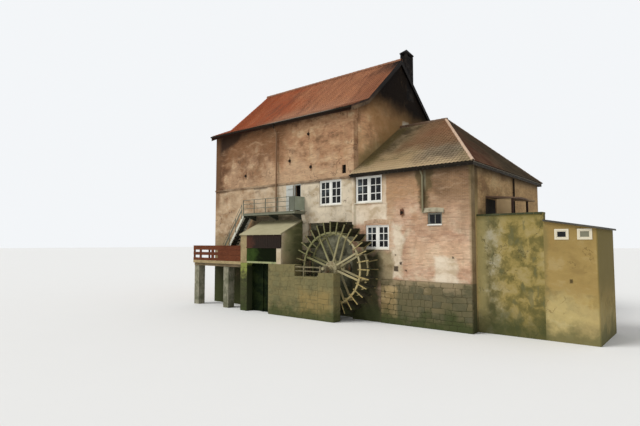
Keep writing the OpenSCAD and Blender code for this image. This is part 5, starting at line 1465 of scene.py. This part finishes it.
class MILL_OT_landing(bpy.types.Operator):
    """Door, landing, railings and stair"""
    bl_idname = "mill.landing"
    bl_label = "Landing and stair"

    def execute(self, context):
        m = held("metal")
        steel = painted("landing_steel", m.steel, dim(m.steel, 0.6), 0.25, 0.65)
        rail = painted("railing_steel", m.rail, dim(m.rail, 0.5), 0.25, 0.6)
        mint = painted("screen_paint", (0.36, 0.40, 0.32), (0.24, 0.28, 0.20), 0.12, 0.6)
        # a darker copy of the railing paint for treads, risers and brackets: painted shade
        shade = painted("tread_steel", dim(m.rail, 0.42), dim(m.rail, 0.25), 0.2, 0.7)
        pale = painted("stringer_paint", (0.74, 0.73, 0.62), (0.52, 0.51, 0.40), 0.12, 0.8)
        dress(steel, "landing_floor")
        dress(pale, "stair_stringers")
        dress(shade, "stair_treads", "landing_brackets")
        dress(rail, "landing_railing", "stair_railing")
        dress(mint, "landing_end_railing")
        self.stair(pale, shade)
        edges(0.005, "landing_floor", "stair_stringers", "stair_treads", "landing_railing",
              "landing_end_railing", "stair_railing", "landing_brackets")
        low, high = span("landing_floor")
        trim, nuts, rng = Shape(), Shape(), random.Random(101)
        plates, half, strip = 20, 0.11, 0.022
        for z in (low.z, high.z - strip):
            trim.bar((low.x, low.y - 0.03, z), (high.x, low.y + 0.002, z + strip))
        for k in range(plates):
            x = low.x + (high.x - low.x) * (k + 0.5) / plates
            trim.bar((x - half, low.y + 0.05, high.z - 0.002),
                     (x + half, high.y - 0.04, high.z + 0.016), rng.random())
        trim.piece("landing_plates", steel, "green_grey_steel", bevel=0.003)
        bracket, bolt = 2.225, 0.09
        for k in range(3):
            for down in (0.30, 0.42):
                start = (low.x + 0.3 + k * bracket - bolt / 2, -0.06, high.z - down)
                nuts.rod(start, RIGHT * bolt, m.bolt * 0.8, 6)
        nuts.piece("bracket_bolts", rail, "green_grey_steel")
        self.door(high.z + 0.02)
        return {"FINISHED"}

    @staticmethod
    def door(z0):
        """Boards, ledges, hinges and handle of the open door leaf."""
        paint = painted("door_paint", held("timber").door_blue, (0.42, 0.43, 0.38), 0.03, 0.55)
        iron = painted("door_iron", (0.30, 0.30, 0.27), (0.16, 0.14, 0.11), 0.3, 0.6)
        dress(paint, "landing_door")
        low, high = span("landing_door")
        left, right, z1, face = low.x, low.x + 0.635, high.z - 0.03, low.y
        leaf = boards(Shape(), (left + 0.01, face + 0.002, z0 + 0.01), RIGHT, UP, right - left - 0.02,
                      z1 - z0 - 0.02, 0.11, 0.014, 102, 0.006)
        for z in (z0 + 0.22, (z0 + z1) / 2, z1 - 0.32):
            leaf.bar((left + 0.02, face - 0.034, z), (right - 0.02, face - 0.01, z + 0.10), 0.3)
        leaf.piece("door_leaf_boards", paint, "blue_grey_paint", bevel=0.003)
        fit = Shape()
        for z in (z0 + 0.27, z1 - 0.27):
            fit.bar((left + 0.18, face - 0.042, z - 0.02), (right + 0.02, face - 0.033, z + 0.02))
        fit.rod((left + 0.07, face - 0.06, z0 + 0.95), UP * 0.15, 0.009)
        for z in (z0 + 0.96, z0 + 1.09):
            fit.rod((left + 0.07, face - 0.06, z), BACK * 0.05, 0.008)
        fit.piece("door_fittings", iron, "iron")

    @staticmethod
    def stair(pale, shade):
        """Risers behind the treads, and flanges along the foot of the stringers."""
        low, high = span("stair_treads")
        treads, going, thick = 13, 0.171, 0.04
        rise = (high.z - low.z - thick) / (treads - 1)
        backs, strips = Shape(), Shape()
        for k in range(treads):
            x, z = high.x - going * k, high.z - rise * k
            backs.bar((x - 0.012, low.y, z - 0.002), (x - 0.002, high.y, z + rise - thick + 0.002), 0.4)
        backs.piece("stair_risers", shade, "green_grey_steel")
        side, flange, plate = span("stair_stringers"), 0.19, 0.012
        drop = Vector((low.x - high.x, 0, low.z - high.z)).normalized()
        for y in (side[0].y, side[1].y - flange):
            start = Vector((side[1].x - 0.01, y, side[1].z - 0.30))
            reach = (start.z - side[0].z - 0.02) / -drop.z
            strips.slab(start, drop * reach, BACK * flange, UP * plate)
        strips.piece("stair_flanges", pale, "green_grey_steel")


class MILL_OT_bridge(bpy.types.Operator):
    """Boards, beams and posts of the bridge piece"""
    bl_idname = "mill.bridge"
    bl_label = "Bridge piece"

    def execute(self, context):
        s, (low, high) = held("timber"), span("bridge_deck")
        old = timber("bridge_timber", s.old_board, dim(s.old_board, 0.45), LYING, 0.3, 0.2)
        pale = timber("facing_timber", (0.47, 0.36, 0.19), (0.30, 0.225, 0.115), LYING, 0.3, 0.1)
        red = timber("parapet_timber", s.red_board, (0.095, 0.032, 0.016), LYING, 0.25, 0.0, 0.06)
        deck = boards(Shape(), (low.x, low.y + 0.03, high.z - 0.05), RIGHT, BACK, high.x - low.x,
                      high.y - low.y - 0.04, 0.19, 0.05, 111, 0.012)
        for y in (low.y + 0.10, (low.y + high.y) / 2 - 0.1, high.y - 0.30):
            deck.bar((low.x + 0.02, y, low.z), (high.x - 0.01, y + 0.2, high.z - 0.052), 0.8)
        facing, fence, rng = Shape(), Shape(), random.Random(112)
        ends = (low.x, low.x + 1.9, low.x + 3.8, high.x)
        for a, b in zip(ends, ends[1:]):
            facing.bar((a + 0.003, low.y, high.z - 0.20), (b - 0.003, low.y + 0.03, high.z), 0.2)
        facing.piece("bridge_facing", pale, "grey_boards", bevel=0.005)
        deck.piece("bridge_boards", old, "grey_boards", stands_for=("bridge_deck",), bevel=0.006)
        rail = span("bridge_parapet")
        left, right, face, base = rail[0].x, rail[1].x, rail[0].y, rail[0].z
        ends = (left, left + 1.9, left + 3.7, right)
        for z0, z1 in ((0.0, 0.19), (0.38, 0.60), (0.76, 1.08)):
            for a, b in zip(ends, ends[1:]):
                fence.bar((a + 0.004, face + 0.004, base + z0),
                          (b - 0.004, face + 0.045, base + z1), rng.random())
        for a, b in ((0.02, 0.13), (0.75, 1.0), (2.15, 2.45)):
            fence.bar((left + a, face + 0.012, base), (left + b, face + 0.05, base + 1.04), 0.7)
        fence.bar((left + 2.9, face + 0.02, base + 0.01), (right, face + 0.04, base + 1.05), 0.15)
        for k in range(4):
            x = left + (right - left - 0.1) * k / 3
            fence.bar((x, face + 0.051, base), (x + 0.1, face + 0.15, base + 1.04), 0.9)
        fence.bar((left, face - 0.006, base + 1.035), (right, face + 0.10, base + 1.08), 0.4)
        fence.piece("parapet_boards", red, "brown_boards", stands_for=("bridge_parapet",), bevel=0.006)
        post = timber("pale_post", (0.34, 0.32, 0.24), (0.17, 0.16, 0.10), (25, 25, 2.5), 0.3, 0.4)
        dress(post, "bridge_posts")
        edges(0.02, "bridge_posts")
        return {"FINISHED"}


class MILL_OT_wheel(bpy.types.Operator):
    """Wheel: paint, float boards, bolts, bearings and shaft"""
    bl_idname = "mill.wheel"
    bl_label = "Water wheel"

    def execute(self, context):
        m = held("metal")
        dress(self.wheel_finish("wheel_paint", m.wheel), "wheel_rings", "wheel_spokes")
        dress(self.wheel_finish("arm_paint", m.arm), "float_arms")
        edges(0.006, "wheel_rings", "wheel_spokes", "float_arms", "wheel_hubs")
        hub = painted("hub_paint", dim(m.wheel, 0.8), (0.17, 0.14, 0.07), 0.4, 0.7)
        dress(hub, "wheel_hubs", "wheel_shaft")
        dress(painted("bearing_iron", (0.17, 0.145, 0.085), m.iron, 0.5, 0.7), "wheel_bearings")
        low, high = span("wheel_floats")
        floats, spokes, inner, outer = 32, 8, 2.245, 2.815
        planks, bolts, nuts, rng = Shape(), Shape(), Shape(), random.Random(121)
        for k in range(floats):
            out, side = self.turned(k / floats)
            for a, b in ((inner, inner + 0.278), (inner + 0.290, outer)):
                push = rng.uniform(0.0, 0.004)
                start = WHEEL_AXIS + out * a + side * (0.030 + push)
                start.y = low.y + rng.uniform(0.0, 0.012)
                wide = BACK * (high.y - start.y - rng.uniform(0, 0.012))
                planks.slab(start, out * (b - a), side * 0.032, wide, rng.random())
        wood = timber("float_timber", (0.060, 0.050, 0.026), (0.022, 0.021, 0.012), DEEP, 0.25, 0.5)
        planks.piece("float_planks", wood, "float_boards", "wheel", stands_for=("wheel_floats",), bevel=0.004)
        # arms or spokes, how far round the first row is, distances from the axis, inset and bolt radius
        for count, first, radii, inset, size_of in ((floats, 0.0, (2.10, 2.33, 2.62), 0.0, m.bolt * 0.75),
                                                    (spokes, 0.4, (0.27, 0.38, 2.10), 0.05, m.bolt)):
            for k in range(count):
                out, _ = self.turned((k + first) / count)
                for r in radii:
                    for y in (low.y + inset - 0.014, high.y - inset - 0.002):
                        spot = WHEEL_AXIS + out * r
                        spot.y = y
                        bolts.rod(spot, BACK * 0.016, size_of, 6)
        iron = painted("bolt_iron", (0.20, 0.16, 0.085), m.iron, 0.6, 0.7)
        bolts.piece("wheel_bolts", iron, "cream_steel", "wheel")
        front, foot = span("wheel_bearings")[0].y, 2.84
        for x in (-0.22, 0.22):
            for y in (front + 0.06, front + 0.34):
                nuts.rod((WHEEL_AXIS.x + x, y, foot - 0.002), UP * 0.032, m.bolt, 6)
        nuts.piece("bearing_bolts", painted("nut_iron", (0.10, 0.08, 0.05), m.iron, 0.5, 0.7), "iron")
        return {"FINISHED"}

    @staticmethod
    def wheel_finish(name, base):
        """Worn paint: greener on one half of the wheel, ochre on the other."""
        f = Finish(name, 0.75, 0.25)
        lean = f.less(f.less(f.x, WHEEL_AXIS.x), f.less(f.z, WHEEL_AXIS.z))
        f.color = f.mix(f.ease(lean, -2.4, 1.2), (0.20, 0.20, 0.085), base)
        f.lay((0.50, 0.37, 0.13), 0.6, f.ease(lean, 0.8, 3.2))
        f.wear(Mottle=((0.24, 0.205, 0.105), 0.5))
        return f.rusted(0.30)

    @staticmethod
    def turned(part):
        """Outward and sideways direction of an arm after that part of a turn."""
        a = part * math.tau
        return Vector((math.cos(a), 0, -math.sin(a))), Vector((math.sin(a), 0, math.cos(a)))


class MILL_OT_garden(bpy.types.Operator):
    """Garden wall, small tower and shelter"""
    bl_idname = "mill.garden"
    bl_label = "Garden wall and tower"

    def execute(self, context):
        dress(garden_finish("garden_plaster"), "garden_wall")
        dress(tower_finish("tower_plaster"), "tower_walls")
        (low, high), coping, rng = span("garden_wall"), Shape(), random.Random(131)
        count = round((high.x - low.x) / 0.42)
        step = (high.x - low.x) / count
        for k in range(count):
            coping.slab((low.x + k * step + 0.006, low.y - 0.012, high.z - 0.086), RIGHT * (step - 0.012),
                        BACK * (high.y - low.y + 0.024), UP * (0.092 + rng.uniform(0, 0.008)), rng.random())
        dark = rough_stone("coping_stone", (0.040, 0.048, 0.020), (0.075, 0.078, 0.038), 0.3, 0.2, 1.3)
        coping.piece("coping_stones", dark, "ochre_plaster", bevel=0.01)
        dress(painted("tower_felt", (0.055, 0.052, 0.042), (0.11, 0.105, 0.085), 0.05, 0.9), "tower_roof")
        edges(0.006, "tower_roof", "shelter_roof", "shelter_posts")
        dress(painted("shelter_sheet", (0.52, 0.37, 0.20), (0.40, 0.27, 0.14), 0.08, 0.8), "shelter_panel")
        f = Finish("shelter_felt", specular=0.2)
        f.color = f.mix(f.ease(f.y, 2.9, 3.3), (0.20, 0.13, 0.085), (0.33, 0.215, 0.110))
        f.wear(Mottle=((0.12, 0.08, 0.055), 0.4))
        dress(f.done(0.002, 0.35, f.spots(40.0, 3.0)), "shelter_roof")
        post = timber("shelter_timber", (0.060, 0.026, 0.018), (0.03, 0.018, 0.012), STANDING)
        dress(post, "shelter_posts")
        zinc, hooks = gutter_zinc("zinc"), Shape()
        dress(zinc, "gutters", "downpipes")
        # number, first place, distance and height of the hooks, where the strap and the upright part
        # begin and end, and how thick the strap is
        rows = ((18, -13.4, 0.79, 12.83, -0.515, -0.37, -0.522, -0.512, 0.015),
                (10, 0.2, 0.8, 8.55, -0.535, -0.39, -0.54, -0.531, 0.012))
        for count, first, apart, z, strap, wall, face, inside, thick in rows:
            for k in range(count):
                x = first + k * apart
                hooks.bar((x, strap, z), (x + 0.03, wall, z + thick))
                hooks.bar((x, face, z), (x + 0.03, inside, z + 0.12))
        hooks.piece("gutter_hooks", zinc, "zinc")
        return {"FINISHED"}


class MILL_OT_stage(bpy.types.Operator):
    """Camera, floor, lamp and backdrop"""
    bl_idname = "mill.stage"
    bl_label = "Stage"

    def execute(self, context):
        s, scene = held("stage"), context.scene
        camera = bpy.data.objects.new("camera", bpy.data.cameras.new("camera"))
        camera.data.lens, camera.data.sensor_width, camera.data.clip_end = s.lens, 36.0, 2000.0
        camera.location = CORNER + Vector((16.798, -23.4035, 4.5363))
        camera.rotation_euler = (math.radians(93.6285), 0.0, math.radians(39.796))
        lamp = bpy.data.objects.new("lamp", bpy.data.lights.new("lamp", "SUN"))
        lamp.data.energy, lamp.data.angle = s.lamp, math.radians(28)
        lamp.data.color = (1.0, 0.985, 0.955)
        lamp.rotation_euler = (math.radians(42), 0.0, math.radians(-38))
        half, mesh = s.floor_side / 2, bpy.data.meshes.new("floor")
        corners = [(-half, -half, 0), (half, -half, 0), (half, half, 0), (-half, half, 0)]
        mesh.from_pydata(corners, [], [(0, 1, 2, 3)])
        floor = bpy.data.objects.new("floor", mesh)
        for obj in (camera, floor, lamp):
            scene.collection.objects.link(obj)
        scene.camera = camera
        f = Finish("floor_paint", 0.9, 0.1)
        f.color = f.mix(f.spots(0.4, 3.0), s.floor, dim(s.floor, 0.985))
        mesh.materials.append(f.done())
        world = bpy.data.worlds.new("studio")
        scene.world, world.use_nodes = world, True
        world.node_tree.nodes.clear()
        net = Net(world.node_tree)
        path = net.node("LightPath").outputs
        seen = net.most(*(path["Is %s Ray" % kind] for kind in ("Camera", "Glossy", "Transmission")))
        light = net.node("Background", {"Color": (0.97, 0.985, 1.0), "Strength": s.sky}).outputs[0]
        shown = net.node("Background", {"Color": tuple(s.backdrop), "Strength": 1.0}).outputs[0]
        both = net.node("MixShader", {0: seen, 1: light, 2: shown}).outputs[0]
        net.node("OutputWorld", {"Surface": both})
        scene.view_settings.view_transform = "Standard"
        return {"FINISHED"}


class MILL_PT_pieces(bpy.types.Panel):
    """Lists the pieces of the watermill"""
    bl_idname = "MILL_PT_pieces"
    bl_label = "Watermill"
    bl_space_type = "VIEW_3D"
    bl_region_type = "UI"
    bl_category = "Watermill"

    def draw(self, context):
        for step in STEPS:
            self.layout.operator(step.bl_idname)
        for name, group in GROUPS.items():
            box = self.layout.box()
            for key in group.__annotations__:
                box.prop(getattr(context.scene, name), key)


STEPS = (MILL_OT_tall_roof, MILL_OT_annex_roof, MILL_OT_walls, MILL_OT_windows, MILL_OT_stonework,
         MILL_OT_sluice, MILL_OT_landing, MILL_OT_bridge, MILL_OT_wheel, MILL_OT_garden, MILL_OT_stage)
CLASSES = tuple(GROUPS.values()) + STEPS + (MILL_PT_pieces,)


def register():
    for kind in CLASSES:
        bpy.utils.register_class(kind)
    for name, group in GROUPS.items():
        setattr(bpy.types.Scene, name, PointerProperty(type=group))


def unregister():
    for name in GROUPS:
        delattr(bpy.types.Scene, name)
    for kind in reversed(CLASSES):
        bpy.utils.unregister_class(kind)


def main():
    register()
    for build in (group_place, group_bricks, group_patch, group_weather, group_courses, group_cracks,
                  group_grain, group_rust):
        build()
    for step in STEPS:
        family, name = step.bl_idname.split(".")
        getattr(getattr(bpy.ops, family), name)()


if __name__ == "__main__":
    main()
